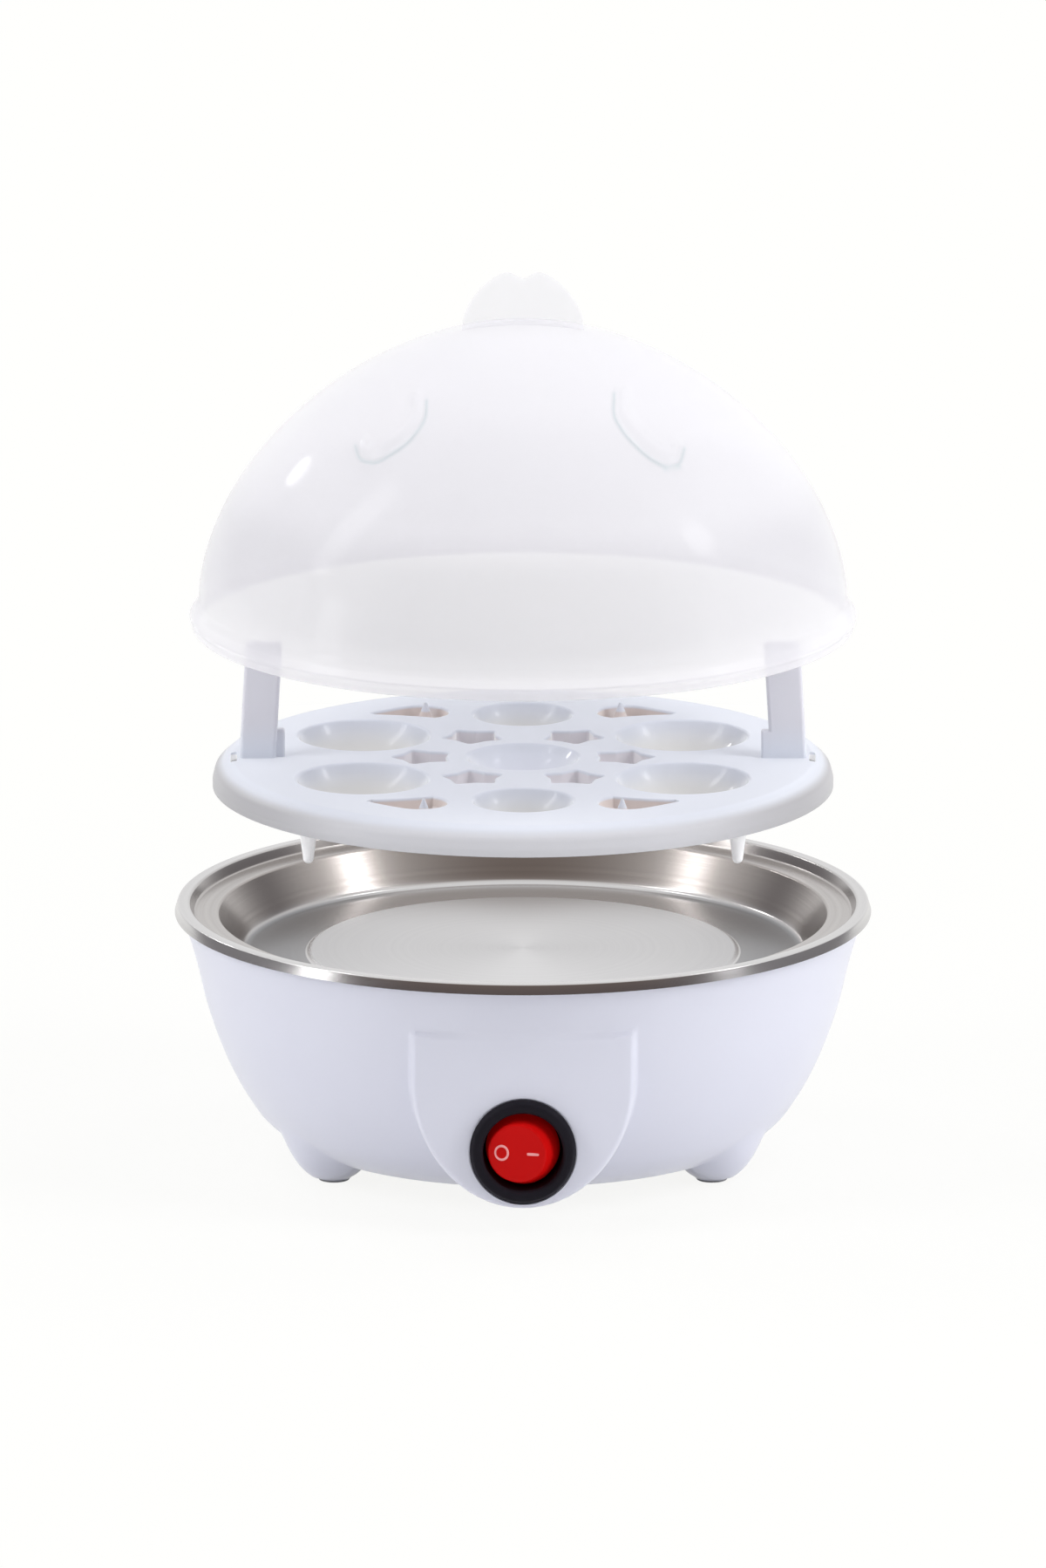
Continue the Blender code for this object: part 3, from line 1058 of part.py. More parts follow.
def make_lead(name, start, start_way, middle, end, end_way, parts, material):
    """Inner lead from one contact to another: straight sleeves, then a smooth run between them."""
    sleeve = 2 * LEAD_SLEEVE_RADIUS
    start = start + start_way * CLEARANCE
    end = end + end_way * CLEARANCE
    leave = start + start_way * sleeve * LEAD_RUN_SHARE
    arrive = end + end_way * sleeve * LEAD_RUN_SHARE
    run = smooth_path([leave, *middle, arrive], LEAD_POINTS)
    path = [start, start + start_way * sleeve, *run, end + end_way * sleeve, end]
    factor = LEAD_SLEEVE_RADIUS / LEAD_RADIUS
    swell = ((0, factor), (1, factor), (len(path) - 2, factor), (len(path) - 1, factor))
    return smooth(tube(name, path, LEAD_RADIUS, parts, material, swell))


def make_leads(parts, switch_ends, block_ends, fuse_ends, material):
    """The five inner leads of the heating circuit."""
    down = Vector((0.0, 0.0, -1.0))
    back = Vector((0.0, 1.0, 0.0))
    left = Vector((-1.0, 0.0, 0.0))
    right = Vector((1.0, 0.0, 0.0))
    blade_height = SPIDER_BOTTOM - THERMOSTAT_BLADE_DROP
    reach = THERMOSTAT_BODY_RADIUS + BLADE_REACH
    thermostat_left = Vector((-reach, 0.0, blade_height))
    thermostat_right = Vector((reach, 0.0, blade_height))
    path = element_path()
    blade = Vector((0.0, 0.0, -CLEARANCE - BLADE_REACH))
    element_left, element_right = path[0] + blade, path[-1] + blade
    fuse_way = polar(1.0, FUSE_ANGLE + 90.0)
    to_switch = lead_route((-0.07, 0.1, 0.22), (-0.1, -0.15, 0.22), (-0.09, -0.4, 0.27))
    make_lead("lead_block_to_switch", block_ends[0], -back, to_switch, switch_ends[0], back, parts,
              material)
    to_thermostat = lead_route((0.10, -0.45, 0.44), (0.22, -0.26, 0.50), (0.27, -0.08, 0.53))
    make_lead("lead_switch_to_thermostat", switch_ends[1], back, to_thermostat, thermostat_right, right,
              parts, material)
    to_fuse = lead_route((-0.28, -0.05, 0.52), (-0.42, -0.03, 0.54))
    make_lead("lead_thermostat_to_fuse", thermostat_left, left, to_fuse, fuse_ends[1], fuse_way,
              parts, material)

    low = (COVER_TOP + element_left.z) / 2
    behind = element_left + Vector((-LEAD_SLEEVE_RADIUS, LEAD_SLEEVE_RADIUS, low - element_left.z))
    to_element = lead_route((-0.25, 0.44, 0.50), (-0.14, 0.50, 0.34)) + [behind]
    make_lead("lead_fuse_to_element", fuse_ends[0], -fuse_way, to_element, element_left, down,
              parts, material)
    beside = BLOCK_LENGTH / 2 + 2 * LEAD_SLEEVE_RADIUS
    front = BLOCK_BACK - BLOCK_DEPTH
    ahead = block_ends[1] + Vector((LEAD_SLEEVE_RADIUS, -BLOCK_DEPTH - BLOCK_PORT_DEPTH, LEAD_RADIUS))
    to_block = [Vector((beside, BLOCK_BACK, low)), Vector((beside, front, low)), ahead]
    make_lead("lead_element_to_block", element_right, down, to_block, block_ends[1], -back, parts, material)


def cap_solid(name, opening, depth, cutters, thickness=0.0, top=OVERRUN):
    """Spherical cup as a turned solid below the tray's top, grown by a wall thickness."""
    radius = (opening ** 2 + depth ** 2) / (2 * depth)
    centre = radius - depth
    outer = radius + thickness
    start = math.asin(min((centre - top) / outer, 1.0)) if thickness else math.asin(centre / outer)
    outline = [(0.0, top)]
    if not thickness:
        outline.append((opening, top))
    for step in range(CUP_RINGS + 1):
        angle = start + (math.pi / 2 - start) * step / CUP_RINGS
        reach = outer * math.cos(angle) if step < CUP_RINGS else 0.0
        outline.append((reach, centre - outer * math.sin(angle)))
    return turned(name, outline, cutters, steps=CUP_STEPS)


def star_outline():
    """Five-pointed star with one tip on the +X side."""
    outline = []
    for step in range(10):
        radius = STAR_RADIUS if step % 2 == 0 else STAR_RADIUS * STAR_WAIST_SHARE
        angle = math.pi * step / 5
        outline.append((radius * math.cos(angle), radius * math.sin(angle)))
    return outline


def pocket_outline(grow=0.0):
    """Teardrop that follows the tray's edge: a circle that shrinks as it moves along an arc."""
    left, right = [], []
    for step in range(POCKET_STEPS + 1):
        share = step / POCKET_STEPS
        radius = POCKET_RADIUS + (POCKET_TIP_RADIUS - POCKET_RADIUS) * share + grow
        angle = POCKET_START - POCKET_SWEEP * share
        circle = POCKET_CIRCLE_RADIUS + POCKET_TIP_SHIFT * share
        left.append(polar(circle + radius, angle))
        right.append(polar(circle - radius, angle))
    centre = polar(POCKET_CIRCLE_RADIUS, POCKET_START)
    cap = []
    for step in range(1, 6):
        angle = POCKET_START + 180.0 * step / 6
        cap.append(centre + polar(POCKET_RADIUS + grow, angle))
    return [(point.x, point.y) for point in right[::-1] + cap[::-1] + left]


def make_tray(parts, cutters, material):
    """Milky moulded tray, built about its own top face and then lifted to its place."""
    shoulder = TRAY_SHOULDER
    visible = [(0.0, 0.0), (TRAY_PLATE_RADIUS, 0.0), (TRAY_PLATE_RADIUS + shoulder, -shoulder / 4),
               (TRAY_RADIUS - shoulder / 4, -shoulder), (TRAY_RADIUS, -2 * shoulder),
               (TRAY_RADIUS, -TRAY_SKIRT)]
    tray = turned("egg_tray", sheet_outline(visible, TRAY_WALL), parts, material)

    added, cut, spikes = [], [], []
    groups = ((SIDE_CUP_ANGLES, CUP_RADIUS, CUP_DEPTH, "cup"),
              (SMALL_CUP_ANGLES, SMALL_CUP_RADIUS, SMALL_CUP_DEPTH, "small_cup"))
    for angles, opening, depth, label in groups:
        for index, angle in enumerate(angles):
            outer = cap_solid(f"{label}_outer_{index}", opening, depth, cutters, CUP_WALL, -TRAY_WALL / 2)
            inner = cap_solid(f"{label}_inner_{index}", opening, depth, cutters)
            for solid, group in ((outer, added), (inner, cut)):
                solid.location = polar(CUP_CIRCLE_RADIUS, angle)
                group.append(solid)
    added.append(cap_solid("dish_outer", DISH_RADIUS, DISH_DEPTH, cutters, CUP_WALL, -TRAY_WALL / 2))
    cut.append(cap_solid("dish_inner", DISH_RADIUS, DISH_DEPTH, cutters))

    for index, angle in enumerate(STAR_ANGLES):
        place = Matrix.Translation(polar(STAR_CIRCLE_RADIUS, angle))
        turn = Matrix.Rotation(math.radians(angle), 4, "Z")
        cut.append(prism(f"star_{index}", star_outline(), 2 * (TRAY_WALL + OVERRUN), place @ turn, cutters))

    for index, (across, along) in enumerate(((1, 1), (-1, 1), (-1, -1), (1, -1))):
        outer = [(x * across, y * along) for x, y in pocket_outline(CUP_WALL)]
        inner = [(x * across, y * along) for x, y in pocket_outline()]
        depth = POCKET_DEPTH + CUP_WALL - TRAY_WALL / 2
        added.append(prism(f"pocket_outer_{index}", outer, depth,
                           Matrix.Translation((0.0, 0.0, -TRAY_WALL / 2 - depth / 2)), cutters))
        cut.append(prism(f"pocket_inner_{index}", inner, 2 * POCKET_DEPTH, Matrix.Identity(4), cutters))
        centre = polar(POCKET_CIRCLE_RADIUS, POCKET_START)
        spot = (centre.x * across, centre.y * along)
        spikes.append(cylinder(f"spike_{index}", SPIKE_RADIUS, (*spot, -POCKET_DEPTH - CUP_WALL / 2),
                               (*spot, 0.0), cutters, steps=8, tip=SPIKE_RADIUS / 8))

    for index, side in enumerate((-1.0, 1.0)):
        grip = box(f"grip_{index}", (GRIP_OUTER - GRIP_WIDTH, -GRIP_THICKNESS / 2, -TRAY_WALL / 2),
                   (GRIP_OUTER, GRIP_THICKNESS / 2, GRIP_HEIGHT), cutters)
        for vertex in grip.data.vertices:
            vertex.co.x -= GRIP_LEAN * max(vertex.co.z, 0.0) / GRIP_HEIGHT
        grip_inner = GRIP_OUTER - GRIP_WIDTH
        rib = box(f"grip_rib_{index}", (grip_inner - GRIP_RIB_THICKNESS, 0.0, -TRAY_WALL / 2),
                  (grip_inner + GRIP_RIB_THICKNESS, GRIP_THICKNESS / 2, GRIP_RIB_HEIGHT), cutters)
        slot_start = GRIP_OUTER + CLEARANCE
        slot = box(f"grip_slot_{index}", (slot_start, -GRIP_SLOT_LENGTH / 2, -TRAY_SKIRT - OVERRUN),
                   (slot_start + GRIP_SLOT_WIDTH, GRIP_SLOT_LENGTH / 2, OVERRUN), cutters)
        turn = Matrix.Rotation(0.0 if side > 0 else math.pi, 4, "Z")
        for piece in (grip, rib, slot):
            piece.data.transform(turn)
        added += [grip, rib]
        cut.append(slot)

    for index, angle in enumerate(LEG_ANGLES):
        added.append(cylinder(f"leg_{index}", LEG_TIP_RADIUS, polar(LEG_CIRCLE_RADIUS, angle, -LEG_LENGTH),
                              polar(LEG_CIRCLE_RADIUS, angle, -TRAY_WALL / 2), cutters, tip=LEG_RADIUS))
    for piece in [tray, *added, *cut, *spikes]:
        piece.location.z += TRAY_TOP
    combine(tray, added, "UNION")
    combine(tray, cut, "DIFFERENCE")
    return combine(tray, spikes, "UNION")


def dome_outline():
    """Outside of the lid from its top down: a superellipse dome, then the beaded edge."""
    outline = []
    span = LID_HEIGHT - LID_SHOULDER_HEIGHT
    for step in range(DOME_POINTS):
        angle = math.pi / 2 * (1 - step / (DOME_POINTS - 1))
        radius = LID_SHOULDER_RADIUS * max(math.cos(angle), 0.0) ** (2 / DOME_EXPONENT)
        height = LID_SHOULDER_HEIGHT + span * math.sin(angle) ** (2 / DOME_EXPONENT)
        outline.append((radius if step else 0.0, height))
    for reach, height in LID_BEAD_SHARES[::-1]:
        radius = LID_EDGE_RADIUS + reach * (LID_BEAD_RADIUS - LID_EDGE_RADIUS)
        outline.append((radius, height * LID_SHOULDER_HEIGHT))
    return outline


def handle_outline():
    """Fin handle seen from the front: half an ellipse with a soft notch at its top."""
    outline = []
    curve = LID_SHOULDER_RADIUS ** 2 / (LID_HEIGHT - LID_SHOULDER_HEIGHT)
    for step in range(HANDLE_POINTS):
        angle = math.pi * step / (HANDLE_POINTS - 1)
        across = HANDLE_HALF_WIDTH * math.cos(angle)
        rise = (HANDLE_HEIGHT + LID_WALL) * math.sin(angle)
        notch = HANDLE_NOTCH_DEPTH * math.exp(-(across / HANDLE_NOTCH_WIDTH) ** 2)
        outline.append((across, LID_HEIGHT - LID_WALL - across ** 2 / (2 * curve) + rise - notch))
    for step in range(1, 8):
        across = -HANDLE_HALF_WIDTH * (1 - step / 4)
        outline.append((across, LID_HEIGHT - LID_WALL / 2 - across ** 2 / (2 * curve)
                        - LID_WALL / 4))
    return outline


def make_lid(parts, cutters, material):
    """Clear dome lid and its fin handle, one moulding."""
    lid = turned("lid", sheet_outline(dome_outline(), LID_WALL), parts, material)
    lid.location.z = LID_BASE
    handle = prism("handle", handle_outline(), HANDLE_THICKNESS, upright_plane(), cutters)
    handle.location.z = LID_BASE
    return combine(lid, [handle], "UNION")


def main():
    """Build the whole cooker."""
    clear_scene()
    parts = new_collection("egg_cooker")
    cutters = new_collection("cutters")
    white = new_material("white_plastic", (0.80, 0.79, 0.84), 0.35)
    milky = new_material("milky_plastic", (0.74, 0.75, 0.83), 0.35)
    clear = new_material("clear_plastic", (0.80, 0.80, 0.84), 0.12, alpha=0.35)
    bright = new_material("bright_steel", (0.62, 0.61, 0.60), 0.18, metallic=1.0)
    zinc = new_material("zinc_steel", (0.55, 0.56, 0.58), 0.40, metallic=1.0)
    cast = new_material("cast_aluminium", (0.66, 0.67, 0.68), 0.50, metallic=1.0)
    sheath = new_material("element_sheath", (0.30, 0.30, 0.29), 0.45, metallic=1.0)
    ceramic = new_material("ceramic_white", (0.78, 0.76, 0.70), 0.60)
    brass = new_material("brass", (0.72, 0.53, 0.22), 0.35, metallic=1.0)
    black = new_material("black_plastic", (0.018, 0.018, 0.022), 0.35)
    red = new_material("red_plastic", (0.62, 0.006, 0.010), 0.20)
    rubber = new_material("grey_rubber", (0.16, 0.16, 0.17), 0.75)
    silicone = new_material("lead_silicone", (0.70, 0.68, 0.64), 0.55)

    make_housing(parts, cutters, white)
    make_bottom_cover(parts, cutters, white)
    make_feet_and_cover_screws(parts, cutters, rubber, zinc)
    make_bowl(parts, bright, rubber)
    make_bowl_brackets(parts, cutters, zinc)
    make_heater(parts, cutters, cast, zinc, sheath, ceramic, brass)
    fuse_ends = make_fuse(parts, cutters, ceramic, zinc)
    switch_ends = make_switch(parts, cutters, black, red, brass)
    make_gland(parts, rubber)
    block_ends = make_terminal_block(parts, cutters, ceramic, zinc)
    make_leads(parts, switch_ends, block_ends, fuse_ends, silicone)
    make_tray(parts, cutters, milky)
    make_lid(parts, cutters, clear)


main()
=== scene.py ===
"""Looks of the electric egg cooker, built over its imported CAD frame.

Every new piece is a numpy surface in metres in the frame's own axes: +Z up, the switch faces -Y.
Heights are above the table unless a name says otherwise.
"""
import json
import math
import bpy
import numpy as np
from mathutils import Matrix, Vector


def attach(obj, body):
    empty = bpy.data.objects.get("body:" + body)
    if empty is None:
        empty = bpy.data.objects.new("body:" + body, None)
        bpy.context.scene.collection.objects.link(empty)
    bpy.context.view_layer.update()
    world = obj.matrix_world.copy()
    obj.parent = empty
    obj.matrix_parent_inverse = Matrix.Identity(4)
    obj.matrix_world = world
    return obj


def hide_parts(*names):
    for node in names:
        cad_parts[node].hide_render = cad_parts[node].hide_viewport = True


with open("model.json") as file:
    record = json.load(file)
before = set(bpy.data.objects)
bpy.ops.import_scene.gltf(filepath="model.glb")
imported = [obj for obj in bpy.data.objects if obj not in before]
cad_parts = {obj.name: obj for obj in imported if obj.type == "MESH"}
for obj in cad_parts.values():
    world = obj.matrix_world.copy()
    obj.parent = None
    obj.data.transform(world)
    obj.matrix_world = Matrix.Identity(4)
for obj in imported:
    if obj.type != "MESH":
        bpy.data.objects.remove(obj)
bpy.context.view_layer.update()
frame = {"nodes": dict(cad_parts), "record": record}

# Base housing
CORE_HEIGHT = 0.0350
BODY_BOTTOM = 0.0048
BODY_TOP = 0.0573
BODY_BOTTOM_RADIUS = 0.0515
BODY_TOP_RADIUS = 0.0782
BODY_SHARES = np.array(((0.0, 0.0), (0.055, 0.19), (0.11, 0.32), (0.196, 0.445), (0.31, 0.572),
                        (0.442, 0.685), (0.60, 0.79), (0.80, 0.885), (1.0, 1.0)))
LIP_TOP = 0.0586
OPENING_RADIUS = 0.0493
WALL = 0.0022
INNER_ROWS = np.r_[0, 4:85:8, 86:89]
FOOT_ANGLES = (90.0, 210.0, 330.0)
FOOT_CIRCLE = 0.0500
FOOT_RADIUS = 0.0095
BULB_RADIUS = 0.0091
FOOT_CENTRE = 0.0090
FOOT_FLAT = 0.0006
PAD_SEAT = 0.0025
PAD_RADIUS = 0.0036
PAD_HEIGHT = 0.0022
PAD_HOLE_RADIUS = 0.0039

# Cord inlet at the back, with its ring and rubber bush
INLET_HEIGHT = 0.0200
INLET_RADIUS = 0.0058
INLET_RING_RADIUS = 0.0080
INLET_RING_END = 0.0695
BUSH_BORE = 0.0036
BUSH_NECK = 0.0047
BUSH_RADIUS = 0.0072
BUSH_END = 0.0723

# Steel bowl
DISC_TOP = 0.0484
DISC_RADIUS = 0.0486
FLOOR_TOP = 0.0476
FLOOR_INNER = 0.0496
FLOOR_OUTER = 0.0641
LEDGE_TOP = 0.0571
LEDGE_INNER = 0.0700
LEDGE_OUTER = 0.0755
RIM_TOP = 0.0596
RIM_INNER = 0.0766
RIM_OUTER = 0.0793
BOWL_RADIUS = 0.0800
STEEL = 0.0006

# Switch boss and switch
BOSS_HALF_WIDTH = 0.0254
BOSS_DROP = 0.0285
BOSS_MIDDLE = 0.0345
BOSS_TOP = 0.0465
BOSS_FACE = 0.0755
BOSS_FACE_RADIUS = 0.1100
BOSS_LEAN = math.radians(2.0)
SWITCH_HEIGHT = 0.0196
SEAT_DEPTH = 0.0748
BARREL_RADIUS = 0.0098
BARREL_BACK = 0.0571
BEZEL_BACK = 0.0751
BEZEL_FRONT = 0.0773
BEZEL_RADIUS = 0.0121
WELL_RADIUS = 0.0091
WELL_FLOOR = 0.0623
PIVOT = 0.0710
ROCKER_ARM = 0.0068
ROCKER_RADIUS = 0.0083
ROCKER_VALLEY = 0.0005
ROCKER_TILT = math.radians(12.0)
PIN_RADIUS = 0.0012
PIN_HALF_LENGTH = 0.0082
STEM_LENGTH = 0.0066
RING_PLACE, RING_RADIUS = -0.0036, 0.0016
BAR_PLACE, BAR_HALF_LENGTH, BAR_HALF_WIDTH = 0.0037, 0.0014, 0.00034
PRINT_RADIUS = 0.00028

# Egg tray, heights below its own top
TRAY_TOP = 0.0936
TRAY_RADIUS = 0.0712
SKIRT_DEPTH = 0.0064
TRAY_WALL = 0.0018
CUP_WALL = 0.0014
LIP_ROUND = 0.0006
CUP_CIRCLE = 0.0422
# Cups, by their angle, opening radius, depth and distance from the axis
CUPS = [(angle, 0.0153, 0.0100, CUP_CIRCLE) for angle in (30.0, 150.0, 210.0, 330.0)]
CUPS += [(90.0, 0.0116, 0.0080, CUP_CIRCLE), (270.0, 0.0116, 0.0080, CUP_CIRCLE), (0.0, 0.0131, 0.0065, 0.0)]
STAR_CIRCLE = 0.0230
STAR_RADIUS = 0.0072
STAR_WAIST = 0.70
STAR_DEPTH = 0.0035
POCKET_CIRCLE = 0.0502
POCKET_RADIUS = 0.0064
POCKET_START = math.radians(62.0)
POCKET_SWEEP = math.radians(11.5)
LEG_CIRCLE = 0.0626
LEG_LENGTH = 0.0156
LEG_TIP = 0.0012
LEG_ROOT_RADIUS = 0.0021
LEG_ANGLES = (38.65, 141.35, 218.65, 321.35)
# Two corners, edge radius and lean of the grip, its rib and the slot beside it, on the right-hand side
GRIP = ((0.0567, -0.0018, -0.0009), (0.0651, 0.0018, 0.0270), 0.0009, 0.0016)
RIB = ((0.0546, -0.0018, -0.0009), (0.0585, 0.0006, 0.0065), 0.0006)
SLOT = ((0.0656, -0.0044, -0.0104), (0.0671, 0.0044, 0.0040), 0.0005)
QUARTERS = ((1, 1), (-1, 1), (-1, -1), (1, -1))

# Lid
LID_BASE = 0.1243
LID_HEIGHT = 0.0710
LID_SHOULDER = 0.0064
LID_RADIUS = 0.0743
LID_WALL = 0.0011
DOME_EXPONENT = 1.8
HANDLE_HALF_WIDTH = 0.0139
HANDLE_HEIGHT = 0.0126
HANDLE_HALF_THICKNESS = 0.0030
NOTCH_DEPTH, NOTCH_WIDTH = 0.0023, 0.0025
CRESCENT_AZIMUTH, CRESCENT_REACH = 39.5, 14.5
CRESCENT_ROWS = (0.72, 1.12)
LINE_WIDTH, LINE_RAISE = 0.00034, 0.0002
BAND_AWAY, BAND_WIDTH, BAND_RAISE, BAND_LIMIT = 0.0021, 0.0013, 0.0006, 0.0362
# Lines of the two crescents in the front view, as (x, height) knots
CRESCENTS = (((-0.0219, 0.1840), (-0.0221, 0.1815), (-0.0249, 0.1777), (-0.0297, 0.1741), (-0.0345, 0.1719),
              (-0.0371, 0.1723), (-0.0381, 0.1742)),
             ((0.0207, 0.1852), (0.0207, 0.1816), (0.0223, 0.1792), (0.0255, 0.1760), (0.0299, 0.1727),
              (0.0330, 0.1713), (0.0356, 0.1717), (0.0366, 0.1740)))

# Studio
PAPER = (1.0, 1.0, 0.985)
CAMERA_DISTANCE = 5.0
CAMERA_RISE = math.radians(13.6)
CAMERA_TARGET = 0.0871
VIEW_HEIGHT = 0.3596


def smooth_min(a, b, width):
    """Lower of two arrays, blended by a parabola where they lie within a width of each other."""
    near = np.maximum(width - np.abs(a - b), 0.0) / width
    return np.minimum(a, b) - near ** 2 * width / 4


def smooth_max(a, b, width):
    """Higher of two arrays, blended by a parabola where they lie within a width of each other."""
    return -smooth_min(-a, -b, width)


def hermite(x, knots_x, knots_y):
    """Cubic curve through knots whose slope at each knot is that of its neighbours."""
    slopes = np.gradient(knots_y, knots_x)
    index = np.clip(np.searchsorted(knots_x, x) - 1, 0, len(knots_x) - 2)
    span = knots_x[index + 1] - knots_x[index]
    t = np.clip((x - knots_x[index]) / span, 0.0, 1.0)
    return ((2 * t ** 3 - 3 * t ** 2 + 1) * knots_y[index] + (t ** 3 - 2 * t ** 2 + t) * span * slopes[index]
            + (3 * t ** 2 - 2 * t ** 3) * knots_y[index + 1] + (t ** 3 - t ** 2) * span * slopes[index + 1])


def rounded(corners, turn=math.radians(10)):
    """Outline whose corners (x, y, fillet radius) become arcs tangent to both of their sides."""
    points = [np.array(corners[0][:2])[None]]
    for before, corner, after in zip(corners, corners[1:], corners[2:]):
        here = np.array(corner[:2])
        back = np.array(before[:2]) - here
        ahead = np.array(after[:2]) - here
        back_length, ahead_length = np.linalg.norm(back), np.linalg.norm(ahead)
        back, ahead = back / back_length, ahead / ahead_length
        half = math.acos(np.clip(back @ ahead, -1.0, 1.0)) / 2
        radius = corner[2] if len(corner) > 2 else 0.0
        reach = radius / math.tan(half) if half > 0.01 else 0.0
        limit = 0.49 * min(back_length, ahead_length)
        if reach > limit:
            radius, reach = radius * limit / reach, limit
        sweep = math.pi - 2 * half
        if radius <= 0.0 or sweep < 0.02:
            points.append(here[None])
            continue
        count = max(2, int(sweep / turn) + 2)
        share = np.linspace(0.0, 1.0, count)[:, None]
        middle = (back + ahead) / np.linalg.norm(back + ahead)
        centre = here + middle * radius / math.sin(half)
        start, end = here + back * reach - centre, here + ahead * reach - centre
        arc = (np.sin((1 - share) * sweep) * start + np.sin(share * sweep) * end) / math.sin(sweep)
        points.append(centre + arc)
    points.append(np.array(corners[-1][:2])[None])
    return np.concatenate(points)


def sheet(outline, thickness):
    """Section of a sheet: an outline that starts on the axis, and itself moved sideways by a thickness."""
    step = np.gradient(outline, axis=0)
    normal = np.stack([step[:, 1], -step[:, 0]], axis=1)
    back = outline + normal / np.linalg.norm(normal, axis=1, keepdims=True) * thickness
    back[0, 0] = 0.0
    return np.concatenate([outline, back[::-1]])


def polar(radius, angle):
    """Flat points at radii and at angles from the first axis."""
    return np.stack([radius * np.cos(angle), radius * np.sin(angle)], axis=-1)


def rotated(x, y, angle):
    """Flat coordinates turned about the origin."""
    c, s = math.cos(angle), math.sin(angle)
    return x * c - y * s, x * s + y * c


def turned(profile, angle, middle=(0.0, 0.0), lift=0.0):
    """Points (profile, angle): each profile point (radius, height) carried round a vertical axis."""
    profile = np.asarray(profile)
    return np.stack([middle[0] + profile[:, :1] * np.cos(angle), middle[1] + profile[:, :1] * np.sin(angle),
                     lift + profile[:, 1:] * np.ones_like(angle)], axis=-1)


def lathe(profile, steps, middle=(0.0, 0.0), lift=0.0):
    """Points of a profile turned all the way round in even steps."""
    return turned(profile, 2 * np.pi * np.arange(steps) / steps, middle, lift)


def capped(points):
    """Grid of points with a pole added before its first row and after its last."""
    poles = [np.tile(points[k].mean(axis=0), (1, points.shape[1], 1)) for k in (0, -1)]
    return np.concatenate([poles[0], points, poles[1]])


def facing(points, side, height):
    """Turn points made about +Z so that their axis runs along -Y (side -1) or +Y (side 1)."""
    return np.stack([-side * points[..., 0], side * points[..., 2], points[..., 1] + height], axis=-1)


def surface(points, wrap_rows=False):
    """Closed mesh from a grid of points whose columns join up; rows end in poles, or join up too."""
    rows, columns = points.shape[:2]
    index = np.arange(rows * columns).reshape(rows, columns)
    if wrap_rows:
        index = np.vstack([index, index[:1]])
    index = np.hstack([index, index[:, :1]])
    quads = np.stack([index[:-1, :-1], index[:-1, 1:], index[1:, 1:], index[1:, :-1]], axis=-1)
    vertices, place = np.unique(np.round(points.reshape(-1, 3), 8) + 0.0, axis=0, return_inverse=True)
    quads = place.reshape(-1)[quads.reshape(-1, 4)]
    a, b, c, d = (vertices[quads[:, k]] for k in range(4))
    volume = np.sum(a * np.cross(b, c)) + np.sum(a * np.cross(c, d))
    return vertices, quads[:, ::-1] if volume < 0 else quads


def joined(parts):
    """Several meshes as one list of vertices and faces."""
    start, vertices, quads = 0, [], []
    for points, corners in parts:
        vertices.append(points)
        quads.append(corners + start)
        start += len(points)
    return np.concatenate(vertices), np.concatenate(quads)


def mesh_object(name, parts):
    """Object from meshes; a quad with two equal corners becomes a triangle."""
    vertices, quads = joined(parts)
    keep = quads != np.roll(quads, -1, axis=1)
    sides = keep.sum(axis=1)
    faces = quads[sides == 4].tolist()
    triangles = quads[sides == 3][keep[sides == 3]].reshape(-1, 3)
    mesh = bpy.data.meshes.new(name)
    mesh.from_pydata(vertices.tolist(), [], faces + triangles.tolist())
    obj = bpy.data.objects.new(name, mesh)
    bpy.context.scene.collection.objects.link(obj)
    return obj


def carve(obj, parts, operation):
    """Cut an object with meshes, or join them to it, and keep the result as its mesh."""
    tool = mesh_object("tool", parts)
    modifier = obj.modifiers.new("carve", "BOOLEAN")
    modifier.operation = operation
    modifier.solver = "EXACT"
    modifier.object = tool
    bpy.context.view_layer.update()
    evaluated = obj.evaluated_get(bpy.context.evaluated_depsgraph_get())
    mesh = bpy.data.meshes.new_from_object(evaluated)
    obj.modifiers.clear()
    obj.data = mesh
    bpy.data.objects.remove(tool, do_unlink=True)


def finish_piece(obj, body, slot, nodes=(), sharp=32.0, weighted=False, finish=None):
    """Shade a piece, give it its finish and body, and hide the CAD nodes that it stands for."""
    obj.data.name = obj.name
    obj.data.materials.clear()
    obj.data.materials.append(finishes[finish or slot])
    obj.data.shade_smooth()
    obj.data.set_sharp_from_angle(angle=math.radians(sharp))
    if weighted:
        modifier = obj.modifiers.new("even shading", "WEIGHTED_NORMAL")
        modifier.keep_sharp = True
    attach(obj, body)
    if nodes:
        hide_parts(*nodes)


def feed(tree, socket, value):
    """Link a node's value to a socket, or set the socket to a plain value."""
    if isinstance(value, Value):
        tree.links.new(value.socket, socket)
    else:
        socket.default_value = value


